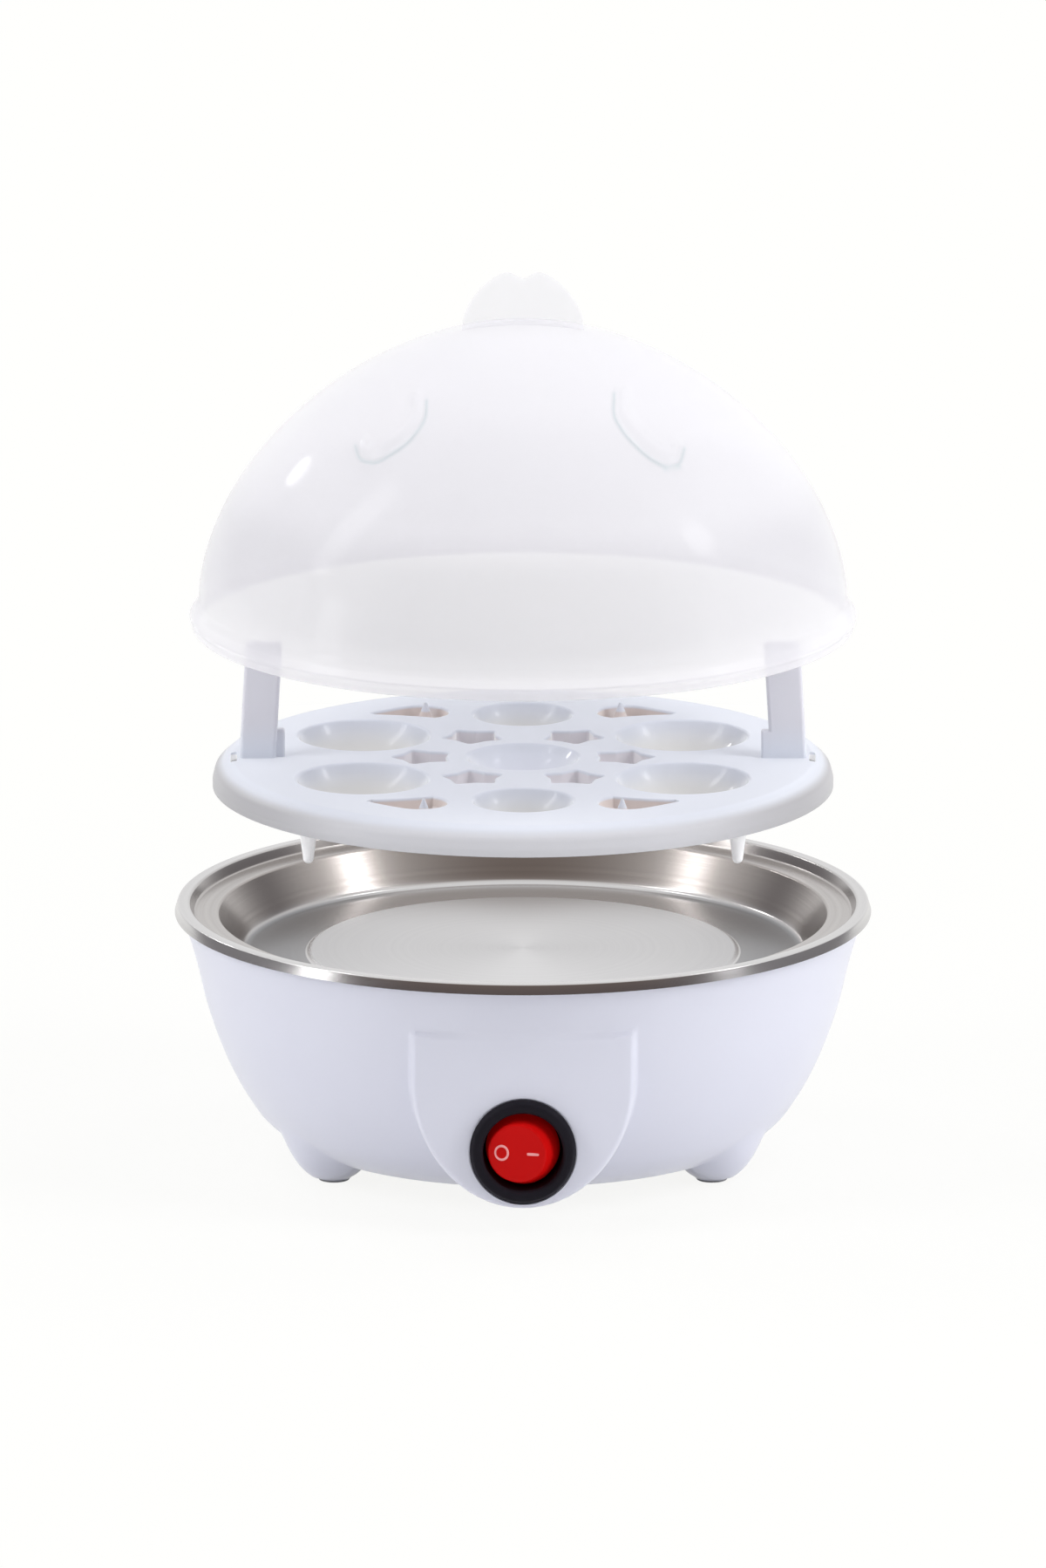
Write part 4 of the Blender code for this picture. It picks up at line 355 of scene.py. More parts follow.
class Value:
    """A node's output; arithmetic on one that holds a number adds Math nodes."""

    def __init__(self, tree, socket):
        self.tree = tree
        self.socket = socket

    def math(self, operation, *others, clamp=False):
        """One Math node on this value and others."""
        node = self.tree.nodes.new("ShaderNodeMath")
        node.operation = operation
        node.use_clamp = clamp
        for place, value in enumerate((self, *others)):
            feed(self.tree, node.inputs[place], value)
        return Value(self.tree, node.outputs[0])

    def __add__(self, other):
        return self.math("ADD", other)

    __radd__ = __add__

    def __sub__(self, other):
        return self.math("SUBTRACT", other)

    def __rsub__(self, other):
        return (self * -1.0) + other

    def __mul__(self, other):
        return self.math("MULTIPLY", other)

    __rmul__ = __mul__

    def __truediv__(self, other):
        return self.math("DIVIDE", other)

    def __pow__(self, other):
        return self.math("POWER", other)

    def clamp(self):
        """This value kept between 0 and 1."""
        return self.math("ADD", 0.0, clamp=True)

    def rise(self, low, high):
        """0 below one bound, 1 above the other, and a smooth step between them."""
        t = ((self - low) / (high - low)).clamp()
        return t * t * (3.0 - 2.0 * t)


class Finish:
    """A material or world, with one way to add any node to it."""

    def __init__(self, name, world=None):
        self.owner = world or bpy.data.materials.new(name)
        self.owner.use_nodes = True
        self.tree = self.owner.node_tree
        self.tree.nodes.clear()

    def node(self, kind, settings=None, values=None, output=0):
        """Add a node: its settings first, then the values or links of its sockets."""
        node = self.tree.nodes.new("ShaderNode" + kind)
        for key, value in (settings or {}).items():
            setattr(node, key, value)
        for key, value in (values or {}).items():
            feed(self.tree, node.inputs[key], value)
        return Value(self.tree, node.outputs[output])

    def place(self):
        """The point's own coordinates, in metres."""
        return self.node("TexCoord", output=3)

    def parts(self, vector):
        """The three numbers of a vector."""
        node = self.node("SeparateXYZ", values={"Vector": vector}).socket.node
        return [Value(self.tree, output) for output in node.outputs]

    def noise(self, vector, scale, detail=2.0, roughness=0.5):
        """Fractal noise between 0 and 1 at a scale in waves per metre."""
        return self.node("TexNoise", values={"Vector": vector, "Scale": scale, "Detail": detail,
                                             "Roughness": roughness})

    def mix(self, factor, low, high):
        """Colour between two colours by a factor."""
        low, high = (value if isinstance(value, Value) else (*value, 1.0) for value in (low, high))
        return self.node("Mix", {"data_type": "RGBA"}, {0: factor, 6: low, 7: high}, output=2)

    def bump(self, height, distance):
        """Normal of a surface raised by a height between 0 and 1 times a distance in metres."""
        return self.node("Bump", values={"Height": height, "Distance": distance})

    def principled(self, **values):
        """A Principled shader, its sockets named with underscores for spaces."""
        sockets = {key.replace("_", " "): value for key, value in values.items()}
        for key in ("Base Color", "Emission Color"):
            if key in sockets and not isinstance(sockets[key], Value):
                sockets[key] = (*sockets[key], 1.0)
        return self.node("BsdfPrincipled", values=sockets)

    def rays(self):
        """The Light Path's camera, glossy and transmission flags."""
        node = self.node("LightPath").socket.node
        kinds = ("Camera", "Glossy", "Transmission")
        return [Value(self.tree, node.outputs[f"Is {kind} Ray"]) for kind in kinds]

    def shaded(self, **values):
        """The finished material with a Principled shader."""
        return self.done(self.principled(**values))

    def done(self, shader):
        """Link the shader to the output and give the material back."""
        kind = "OutputWorld" if isinstance(self.owner, bpy.types.World) else "OutputMaterial"
        output = self.tree.nodes.new("ShaderNode" + kind)
        self.tree.links.new(shader.socket, output.inputs["Surface"])
        return self.owner


def moulded(name, colour, shade, roughness, grain, **more):
    """Moulded plastic: slow flow marks in its colour and gloss, and a fine grain in its normal."""
    finish = Finish(name)
    place = finish.place()
    flow = finish.noise(place, 22.0, 3.0)
    fine = finish.noise(place, 2600.0, 1.0)
    tone = finish.mix((flow - 0.3).clamp(), colour, shade)
    return finish.shaded(Base_Color=tone, Roughness=roughness + 0.06 * (flow - 0.5),
                         Normal=finish.bump(fine, grain), **more)


def metal(name, colour, shade, roughness, scale, depth):
    """Plain metal: mottled tone and gloss over a fine cast or rolled grain."""
    finish = Finish(name)
    place = finish.place()
    blotch = finish.noise(place, scale / 8, 3.0)
    fine = finish.noise(place, scale, 3.0, 0.6)
    tone = finish.mix(blotch, colour, shade)
    return finish.shaded(Base_Color=tone, Metallic=1.0,
                         Roughness=roughness + 0.25 * (fine - 0.5),
                         Normal=finish.bump(fine, depth))


def spun_steel():
    """Bright steel turned on a lathe: fine rings and a satin disc, with painted shade that darkens the walls,
    the ledge and the channel towards its sides.
    """
    finish = Finish("bright spun steel")
    x, y, z = finish.parts(finish.place())
    radius = (x * x + y * y) ** 0.5
    ring = finish.node("CombineXYZ", values={"X": radius + 0.7 * z, "Y": 0.0, "Z": 0.0})
    coarse = finish.noise(ring, 900.0, 4.0, 0.7)
    fine = finish.noise(ring, 4200.0, 2.0)
    # drawn: the walls and the ledge (three quarters on the ledge, none on the rim), where the steel is
    # painted darker as painted shade for the dark room they reflect
    drawn = radius.rise(FLOOR_OUTER - 0.0001, FLOOR_OUTER + 0.0014)
    drawn = drawn * (1.0 - 0.25 * radius.rise(LEDGE_INNER - 0.0005, LEDGE_INNER + 0.0010))
    drawn = drawn * (1.0 - radius.rise(RIM_INNER - 0.0006, RIM_INNER + 0.0006))
    disc = 1.0 - radius.rise(DISC_RADIUS - 0.0001, DISC_RADIUS + 0.0014)
    bright = finish.mix((coarse - 0.25) * 1.6, (0.65, 0.64, 0.64), (0.57, 0.56, 0.56))
    bright = finish.mix(disc * 0.4, bright, (0.76, 0.76, 0.78))
    channel = radius.rise(FLOOR_INNER + 0.0002, FLOOR_INNER + 0.0006)
    channel = channel * (1.0 - radius.rise(FLOOR_OUTER - 0.0005, FLOOR_OUTER + 0.0009))
    # Painted shade: the channel, and a little of the disc, darker towards the left and right sides
    beside = x.math("ABSOLUTE").rise(0.024, 0.056)
    bright = finish.mix(beside * (channel + disc * 0.15), bright, (0.22, 0.22, 0.23))
    # Painted shade: a darker brown-grey steel for the walls and ledge
    painted_wall_shade = finish.mix((coarse - 0.25) * 1.6, (0.42, 0.39, 0.37), (0.32, 0.29, 0.28))
    return finish.shaded(Base_Color=finish.mix(drawn, bright, painted_wall_shade), Metallic=1.0,
                         Anisotropic=0.75, Normal=finish.bump(fine, 0.000003),
                         Roughness=0.17 + 0.14 * disc + 0.12 * (coarse - 0.5))


def tray_plastic():
    """Milky plastic: bright on the plate; greyer in the skirt and darker at its sides and bottom, greyer and
    warmer in the cups, both painted shade; warmer in the star holes; a painted warm reflection of the steel
    in the pockets.

    Its small emission, like the much lighter tone of the legs and slots, is painted light for light that
    comes through the thin legs, slots, skirt and walls.
    """
    finish = Finish("milky plastic")
    place = finish.place()
    x, y, z = finish.parts(place)
    across, along = x.math("ABSOLUTE"), y.math("ABSOLUTE")
    radius = (x * x + y * y) ** 0.5
    below = TRAY_TOP - z
    depth = below.rise(0.0004, 0.0060)
    height = (z - TRAY_TOP).rise(0.0004, 0.0100)
    outer = radius.rise(0.0655, 0.0680)
    middle = 1.0 - radius.rise(0.0130, 0.0150)
    wall = below.rise(0.0003, 0.0009)
    turn = y.math("ARCTAN2", x).math("WRAP", math.pi / 6, -math.pi / 6).math("COSINE")
    away = (radius * radius - radius * turn * (2 * STAR_CIRCLE) + STAR_CIRCLE ** 2) ** 0.5
    stars = 1.0 - away.rise(0.0089, 0.0094)
    spot_x, spot_y = (across - 0.0262) * 0.71, along - 0.0435
    pockets = 1.0 - ((spot_x * spot_x + spot_y * spot_y) ** 0.5).rise(0.0074, 0.0080)
    legs = below.rise(0.0070, 0.0085) * radius.rise(0.0570, 0.0590)
    flow = finish.noise(place, 26.0, 3.0)
    top = finish.mix((flow - 0.3).clamp(), (0.79, 0.82, 0.89), (0.75, 0.78, 0.86))
    # Painted shade: below the plate the cups turn greyer and warmer; the centre dish keeps a bluish tone like
    # the plate's
    low = finish.mix(middle, (0.76, 0.755, 0.735), (0.80, 0.82, 0.90))
    tone = finish.mix(height * 0.9, finish.mix(depth, top, low), (0.77, 0.76, 0.81))
    # Painted shade: the skirt greyer than the plate, darker at its sides and towards its bottom
    skirt = finish.mix(across.rise(0.030, 0.066), (0.62, 0.62, 0.65), (0.41, 0.405, 0.42))
    skirt = finish.mix(below.rise(0.003, 0.0105) * 0.20, skirt, (0.0, 0.0, 0.0))
    slots = wall * across.rise(0.0648, 0.0652) * (1.0 - across.rise(0.0672, 0.0676))
    slots = slots * (1.0 - along.rise(0.0044, 0.0048))
    edge = outer * below.rise(0.0002, 0.0024)
    tone = finish.mix(edge, tone, skirt)
    tone = finish.mix(wall * stars, tone, (0.80, 0.77, 0.82))
    # Painted reflection: the pockets take the warm brown of the steel bowl seen through their floors
    tone = finish.mix(wall * pockets * (1.0 - outer), tone, (0.78, 0.70, 0.67))
    # Painted light: the legs and slot walls much lighter, with the glow below added to them, the skirt's edge
    # and the star walls
    tone = finish.mix((legs + slots).clamp(), tone, (0.93, 0.93, 0.94))
    shine = (legs + slots + 0.3 * edge + 0.2 * wall * stars).clamp()
    glow = finish.mix(shine, (0.0, 0.0, 0.0), (0.15, 0.15, 0.15))
    fine = finish.noise(place, 2400.0, 1.0)
    return finish.shaded(Base_Color=tone, Roughness=0.36 + 0.08 * (flow - 0.5),
                         Normal=finish.bump(fine, 0.00001), Specular_IOR_Level=0.3,
                         Coat_Weight=0.08 + 0.50 * wall * (1.0 - outer), Coat_Roughness=0.07,
                         Emission_Color=glow, Emission_Strength=1.0)


def lid_plastic():
    """Milky clear plastic: a frost with faint flow bands, denser in a band near the edge, where painted shade
    also darkens its tone.

    Its small emission stands for light that comes through the dome.
    """
    finish = Finish("clear plastic")
    place = finish.place()
    x, y, z = finish.parts(place)
    flat = finish.node("Mapping", values={"Vector": place, "Scale": (6.0, 6.0, 26.0)})
    bands = finish.noise(flat, 1.0, 3.0)
    line = finish.node("Attribute", {"attribute_name": "relief"}, output=2)
    rim = 1.0 - z.rise(LID_BASE + 0.002, LID_BASE + 0.007)
    band = z.rise(LID_BASE + 0.001, LID_BASE + 0.012)
    band = 0.85 * (band * (1.0 - z.rise(LID_BASE + 0.026, LID_BASE + 0.038)))
    frost = 0.42 + 0.05 * bands + 0.04 * rim + 0.10 * line + 0.05 * band
    # Painted shade: a darker tone, and less glow, in the band over the lower dome
    tone = finish.mix(band, (0.90, 0.89, 0.92), (0.79, 0.78, 0.81))
    # Painted shade: the crescents' raised lines darkened to a teal grey, and glowing less
    tone = finish.mix(line * 0.55, tone, (0.40, 0.53, 0.55))
    glow = finish.mix((band + line).clamp(), (0.045, 0.043, 0.043), (0.015, 0.015, 0.015))
    return finish.shaded(Base_Color=tone, Alpha=frost, Roughness=0.42 + 0.06 * (bands - 0.5),
                         Specular_IOR_Level=0.2, Coat_Weight=0.40, Coat_Roughness=0.07,
                         Emission_Color=glow, Emission_Strength=1.0)


def fin_plastic():
    """The lid's plastic where it is thick and polished: clearer, with faint flow marks."""
    finish = Finish("clear fin plastic")
    flow = finish.noise(finish.place(), 60.0, 3.0)
    tone = finish.mix(flow, (0.90, 0.89, 0.95), (0.84, 0.83, 0.90))
    return finish.shaded(Base_Color=tone, Alpha=0.17 + 0.04 * flow,
                         Roughness=0.30 + 0.10 * (flow - 0.5), Specular_IOR_Level=0.3,
                         Coat_Weight=0.15, Coat_Roughness=0.12)


finishes = {
    "white_plastic": moulded("white plastic", (0.76, 0.77, 0.86), (0.72, 0.73, 0.83), 0.32, 0.000006,
                             Specular_IOR_Level=0.35, Coat_Weight=0.12, Coat_Roughness=0.12),
    "milky_plastic": tray_plastic(),
    "clear_plastic": lid_plastic(),
    "fin": fin_plastic(),
    "bright_steel": spun_steel(),
    "zinc_steel": metal("zinc plated steel", (0.55, 0.56, 0.58), (0.46, 0.47, 0.50), 0.40, 900.0, 0.000010),
    "cast_aluminium": metal("cast aluminium", (0.66, 0.67, 0.68), (0.56, 0.57, 0.58), 0.52, 1400.0, 0.000040),
    "element_sheath": metal("annealed sheath", (0.30, 0.30, 0.29), (0.20, 0.19, 0.20), 0.45, 700.0, 0.000015),
    "brass": metal("plain brass", (0.72, 0.53, 0.22), (0.60, 0.42, 0.16), 0.35, 800.0, 0.000010),
    "ceramic_white": moulded("unglazed ceramic", (0.78, 0.76, 0.70), (0.70, 0.68, 0.62), 0.60, 0.000020),
    "black_plastic": moulded("black plastic", (0.014, 0.0125, 0.017), (0.017, 0.0155, 0.021), 0.42, 0.000006,
                             Specular_IOR_Level=0.05),
    # Painted light: the red plastic's small red emission stands for light coming through the translucent red
    "red_plastic": moulded("red plastic", (0.56, 0.005, 0.005), (0.48, 0.004, 0.004), 0.30, 0.000002,
                           Specular_IOR_Level=0.0, Coat_Weight=0.12, Coat_Roughness=0.08,
                           Emission_Color=(0.5, 0.0, 0.0), Emission_Strength=0.12),
    "print": moulded("switch symbols", (0.95, 0.40, 0.40), (0.90, 0.34, 0.34), 0.40, 0.000002,
                     Specular_IOR_Level=0.2),
    "grey_rubber": moulded("grey rubber", (0.42, 0.42, 0.44), (0.36, 0.36, 0.38), 0.75, 0.000025),
    "lead_silicone": moulded("silicone sleeve", (0.70, 0.68, 0.64), (0.62, 0.60, 0.56), 0.55, 0.000012),
}
for part in frame["record"]["subparts"]:
    obj = frame["nodes"][part["node"]]
    obj.data.materials.clear()
    obj.data.materials.append(finishes[part["material_slot"]])


def body_radius(height):
    """Outer radius of the housing at a height: a cubic curve through the flare shares."""
    share = (height - BODY_BOTTOM) / (BODY_TOP - BODY_BOTTOM)
    flare = hermite(np.clip(share, 0.0, 1.0), BODY_SHARES[:, 0], BODY_SHARES[:, 1])
    return BODY_BOTTOM_RADIUS + flare * (BODY_TOP_RADIUS - BODY_BOTTOM_RADIUS)


def body_exit(elevation):
    """Distance from the core to the turned body along each elevation, found by halving a bracket."""
    low, high = np.zeros_like(elevation), np.full_like(elevation, 0.12)
    for _ in range(40):
        middle = (low + high) / 2
        inside = middle * np.cos(elevation) < body_radius(CORE_HEIGHT + middle * np.sin(elevation))
        low, high = np.where(inside, middle, low), np.where(inside, high, middle)
    floor = (CORE_HEIGHT - BODY_BOTTOM) / np.maximum(-np.sin(elevation), 1e-6)
    return smooth_min(low, floor, 0.0016)


def boss_exit(way):
    """Distance from the core to the switch boss: the nearer of its U outline and its leaning round face."""
    dx, dy, dz = np.abs(way[..., 0]) + 1e-9, np.minimum(way[..., 1], -1e-3), way[..., 2]
    start = CORE_HEIGHT - BOSS_MIDDLE
    roof = np.where(dz > 0, (BOSS_TOP - CORE_HEIGHT) / np.maximum(dz, 1e-6), 1.0)
    side = np.minimum(BOSS_HALF_WIDTH / dx, roof)
    a = (dx / BOSS_HALF_WIDTH) ** 2 + (dz / BOSS_DROP) ** 2
    b = start * dz / BOSS_DROP ** 2
    c = (start / BOSS_DROP) ** 2 - 1
    arc = (-b + np.sqrt(b * b - a * c)) / a
    outline = np.where(start + side * dz < 0, arc, side)
    lean_y = dy * math.cos(BOSS_LEAN) - dz * math.sin(BOSS_LEAN)
    back = ((BOSS_FACE_RADIUS - BOSS_FACE) * math.cos(BOSS_LEAN)
            + (CORE_HEIGHT - SWITCH_HEIGHT) * math.sin(BOSS_LEAN))
    a = dx * dx + lean_y * lean_y
    face = (lean_y * back + np.sqrt((lean_y * back) ** 2 - a * (back ** 2 - BOSS_FACE_RADIUS ** 2))) / a
    exit_distance = smooth_min(np.minimum(outline, 0.3), face, 0.0036)
    return np.where(way[..., 1] < -0.2, exit_distance, 0.0)


def foot_exit(way):
    """Distance from the core to the nearest bulb foot, falling off fast beside it."""
    reach = np.zeros(way.shape[:-1])
    for angle in np.radians(FOOT_ANGLES):
        centre = np.append(polar(FOOT_CIRCLE, angle), FOOT_CENTRE - CORE_HEIGHT)
        along = way @ centre
        room = along ** 2 - centre @ centre + FOOT_RADIUS ** 2
        reach = np.maximum(reach, along + np.sign(room) * np.sqrt(np.abs(room)))
    return reach


def housing_grid():
    """Rays from the core: how far each runs to the outside, then a wall's thickness less on the way back."""
    azimuth = [np.arange(-180.0, 180.0, 1.0), np.arange(-120.0, -60.0, 0.25)]
    azimuth += [np.arange(angle - 15.0, angle + 15.0, 0.5) for angle in (90.0, -150.0, -30.0)]
    azimuth = np.radians(np.unique(np.round(np.concatenate(azimuth), 3)))
    top = math.atan2(LIP_TOP - CORE_HEIGHT, BODY_TOP_RADIUS)
    bottom = math.atan2(BODY_BOTTOM - CORE_HEIGHT, OPENING_RADIUS)
    middle = math.radians(-20.0)
    elevation = np.concatenate([np.linspace(top, middle, 56)[:-1], np.linspace(middle, bottom, 34)])
    way = turned(polar(1.0, elevation), azimuth)
    reach = smooth_max(body_exit(elevation)[:, None] * np.ones_like(azimuth), boss_exit(way), 0.0022)
    reach = smooth_max(reach, foot_exit(way), 0.0066)
    reach = np.minimum(reach, (CORE_HEIGHT - FOOT_FLAT) / np.maximum(-way[..., 2], 1e-6))
    wall = np.interp(-elevation, (-top, -top + 0.06, -top + 0.12), (0.0009, 0.0012, WALL))[:, None]
    outer = way * reach[..., None]
    inner = (way * (reach - wall)[..., None])[::-1][INNER_ROWS]
    points = np.concatenate([outer, inner])
    points[..., 2] += CORE_HEIGHT
    return points


def build_housing():
    """White shell with its boss and feet, cut for the switch and the inlet, and the inlet's raised ring."""
    housing = mesh_object("housing_shell", [surface(housing_grid(), True)])
    hole_radius, seat_radius = BARREL_RADIUS + 0.0003, BEZEL_RADIUS + 0.00025
    seat = ((0.0, 0.050), (hole_radius, 0.050), (hole_radius, SEAT_DEPTH), (seat_radius, SEAT_DEPTH),
            (seat_radius, 0.084), (0.0, 0.084))
    hole = ((0.0, 0.050), (INLET_RADIUS, 0.050), (INLET_RADIUS, 0.075), (0.0, 0.075))
    cuts = [surface(facing(lathe(seat, 96), -1.0, SWITCH_HEIGHT)),
            surface(facing(lathe(hole, 64), 1.0, INLET_HEIGHT))]
    carve(housing, cuts, "DIFFERENCE")
    finish_piece(housing, "base", "white_plastic", ["base_housing"], 38.0, True)
    ring = rounded(((0.0050, 0.0673), (0.0050, INLET_RING_END, 0.0003),
                    (INLET_RING_RADIUS, INLET_RING_END, 0.0009), (INLET_RING_RADIUS, 0.0600),
                    (0.0061, 0.0600), (0.0061, 0.0673), (0.0050, 0.0673)))[:-1]
    shelf = ((0.0712, 0.0553), (0.0775, 0.0553), (0.0765, 0.0531), (0.0712, 0.0531))
    bulb = polar(BULB_RADIUS, np.linspace(-1.10, 1.05, 24)) + (0.0, FOOT_CENTRE)
    bulb = bulb[bulb[:, 1] > FOOT_FLAT]
    bulb = np.concatenate([[(0.0, PAD_SEAT), (PAD_HOLE_RADIUS, PAD_SEAT), (PAD_HOLE_RADIUS, FOOT_FLAT)], bulb,
                           [(0.0, bulb[-1, 1])]])
    parts = [surface(facing(lathe(ring, 96), 1.0, INLET_HEIGHT), True), surface(lathe(shelf, 160), True)]
    parts += [surface(lathe(bulb, 64, polar(FOOT_CIRCLE, angle))) for angle in np.radians(FOOT_ANGLES)]
    trim = mesh_object("housing_trim", parts)
    finish_piece(trim, "base", "white_plastic")


def build_pads_and_gland():
    """Rubber pads in the feet and the bush in the inlet, both turned sections with eased edges."""
    pad = rounded(((0.0, 0.0), (PAD_RADIUS, 0.0, 0.0004), (PAD_RADIUS, PAD_HEIGHT), (0.0, PAD_HEIGHT)))
    pads = mesh_object("rubber_pads", [surface(lathe(pad, 40, polar(FOOT_CIRCLE, angle)))
                                       for angle in np.radians(FOOT_ANGLES)])
    finish_piece(pads, "base", "grey_rubber", ["foot_pad_1", "foot_pad_2", "foot_pad_3"])
    bush = rounded(((BUSH_BORE, BUSH_END, 0.0004), (BUSH_RADIUS, BUSH_END, 0.0010), (BUSH_RADIUS, 0.0698),
                    (BUSH_NECK, 0.0698), (BUSH_NECK, 0.0670), (0.0055, 0.0670), (BUSH_NECK, 0.0650),
                    (BUSH_BORE, 0.0650), (BUSH_BORE, BUSH_END)))
    bush = np.concatenate([[(BUSH_BORE, 0.0700), (0.0037, 0.0720)], bush[1:-1]])
    gland = mesh_object("inlet_bush", [surface(facing(lathe(bush, 72), 1.0, INLET_HEIGHT), True)])
    finish_piece(gland, "base", "grey_rubber", ["cord_gland"])


def build_bowl():
    """Steel bowl: its turned outline from the heating disc out to the rolled rim, and a sheet's thickness."""
    outline = rounded(((0.0, DISC_TOP), (DISC_RADIUS, DISC_TOP, 0.0008), (FLOOR_INNER, FLOOR_TOP, 0.0008),
                       (FLOOR_OUTER, FLOOR_TOP, 0.0026), (LEDGE_INNER, LEDGE_TOP, 0.0008),
                       (LEDGE_OUTER, LEDGE_TOP, 0.0007), (RIM_INNER, RIM_TOP, 0.0007),
                       (RIM_OUTER, RIM_TOP, 0.0005), (BOWL_RADIUS, BODY_TOP)), math.radians(7))
    flat = np.linspace(0.0, 0.0480, 26)[1:, None] * [1.0, 0.0] + [0.0, DISC_TOP]
    outline = np.concatenate([outline[:1], flat, outline[1:]])
    bowl = mesh_object("spun_bowl", [surface(lathe(sheet(outline, STEEL), 288))])
    finish_piece(bowl, "base", "bright_steel", ["steel_bowl"])


def build_switch():
    """Round bezel with its barrel and well, the rocker with a shallow valley, and its two symbols."""
    bezel = rounded(((0.0, BARREL_BACK), (BARREL_RADIUS, BARREL_BACK), (BARREL_RADIUS, BEZEL_BACK),
                     (BEZEL_RADIUS, BEZEL_BACK), (BEZEL_RADIUS, 0.0758, 0.0004),
                     (0.0112, BEZEL_FRONT, 0.0008), (0.0096, 0.0772, 0.0006), (WELL_RADIUS, 0.0764, 0.0003),
                     (WELL_RADIUS, WELL_FLOOR), (0.0, WELL_FLOOR)))
    body = mesh_object("switch_bezel", [surface(facing(lathe(bezel, 128), -1.0, SWITCH_HEIGHT))])
    finish_piece(body, "base", "black_plastic", ["switch_body"])

    side = rounded(((0.0, -0.0010), (ROCKER_RADIUS, -0.0010), (ROCKER_RADIUS, 0.0014, 0.0004),
                    (0.0067, ROCKER_ARM, 0.0005), (0.0, ROCKER_ARM)), math.radians(9))
    flat = np.linspace(0.95, 0.0, 14)[:, None] * side[-2] * [1.0, 0.0] + [0.0, ROCKER_ARM]
    side = np.concatenate([side[:-1], flat])
    points = lathe(side, 96)
    points[..., 2] -= valley(points[..., 0]) * np.clip((points[..., 2] - 0.0050) / 0.0018, 0, 1)
    pin = ((0.0, -PIN_HALF_LENGTH), (PIN_RADIUS, -PIN_HALF_LENGTH), (PIN_RADIUS, PIN_HALF_LENGTH),
           (0.0, PIN_HALF_LENGTH))
    stem = ((0.0, -STEM_LENGTH), (PIN_RADIUS, -STEM_LENGTH), (PIN_RADIUS, 0.0), (0.0, 0.0))
    parts = facing(points, -1.0, 0.0), lathe(pin, 24), facing(lathe(stem, 24), -1.0, 0.0)
    rocker = mesh_object("rocker_cap", [surface(turned_rocker(part)) for part in parts])
    finish_piece(rocker, "rocker", "red_plastic", ["switch_rocker"])

    around = 2 * np.pi * np.arange(64)[:, None] / 64
    section = 2 * np.pi * np.arange(12) / 12
    reach = RING_RADIUS + PRINT_RADIUS * np.cos(section)
    raised = 0.6 * PRINT_RADIUS * np.sin(section)
    ring = np.stack([RING_PLACE + reach * np.cos(around) * 0.92, reach * np.sin(around),
                     ROCKER_ARM - valley(RING_PLACE) + raised * np.ones_like(around)], axis=-1)
    along = np.linspace(-np.pi / 2, np.pi / 2, 16)[:, None]
    taper = np.cos(along) ** 0.15
    bar = np.stack([BAR_PLACE + BAR_HALF_LENGTH * np.sin(along) * np.ones_like(section),
                    BAR_HALF_WIDTH * taper * np.cos(section),
                    ROCKER_ARM - valley(BAR_PLACE) + raised * taper], axis=-1)
    symbols = mesh_object("switch_symbols", [surface(turned_rocker(facing(ring, -1.0, 0.0)), True),
                                             surface(turned_rocker(facing(bar, -1.0, 0.0)))])
    finish_piece(symbols, "rocker", "red_plastic", finish="print")


def valley(across):
    """Depth of the valley in the rocker's face at a distance across it."""
    return ROCKER_VALLEY * (1 - np.minimum(np.abs(across) / ROCKER_RADIUS, 1.0) ** 1.5)


def turned_rocker(points):
    """Points about the pivot, turned to the off position and moved to the pivot's place."""
    x, y = rotated(points[..., 0], points[..., 1], -ROCKER_TILT)
    return np.stack([x, y - PIVOT, points[..., 2] + SWITCH_HEIGHT], axis=-1)


def cup_outline(opening, depth, grow, lip):
    """Spherical cup from its lowest point up: grown into a shell, or flared at the plate to a rounded lip."""
    radius = (opening ** 2 + depth ** 2) / (2 * depth)
    outer = radius + grow
    if grow:
        end, count = math.asin((radius - depth + TRAY_WALL / 2) / outer), 18
    else:
        end, count = math.asin((radius - depth) / radius) + 0.03, 22
    arc = polar(outer, np.linspace(np.pi / 2, end, count)) * (1.0, -1.0) + (0.0, radius - depth)
    arc[0, 0] = 0.0
    if grow:
        return np.concatenate([arc, [(0.0, -TRAY_WALL / 2)]])
    flare = rounded((tuple(arc[-2]), (opening, 0.0, lip), (opening + 4 * lip, 0.0)), math.radians(8))[1:-1]
    rim = flare[-1, 0]
    return np.concatenate([arc[:-2], flare, [(rim, 0.0040), (0.0, 0.0040)]])


def ring_of_arcs(centres, radii, starts, ends, grow, count=7):
    """Closed outline of arcs round fixed centres; growth adds to outer radii and takes from inner ones."""
    share = np.linspace(0.0, 1.0, count)
    angle = starts[:, None] + (ends - starts)[:, None] * share
    reach = (radii + grow * np.sign(ends - starts))[:, None]
    return (centres[:, None] + polar(reach, angle)).reshape(-1, 2)


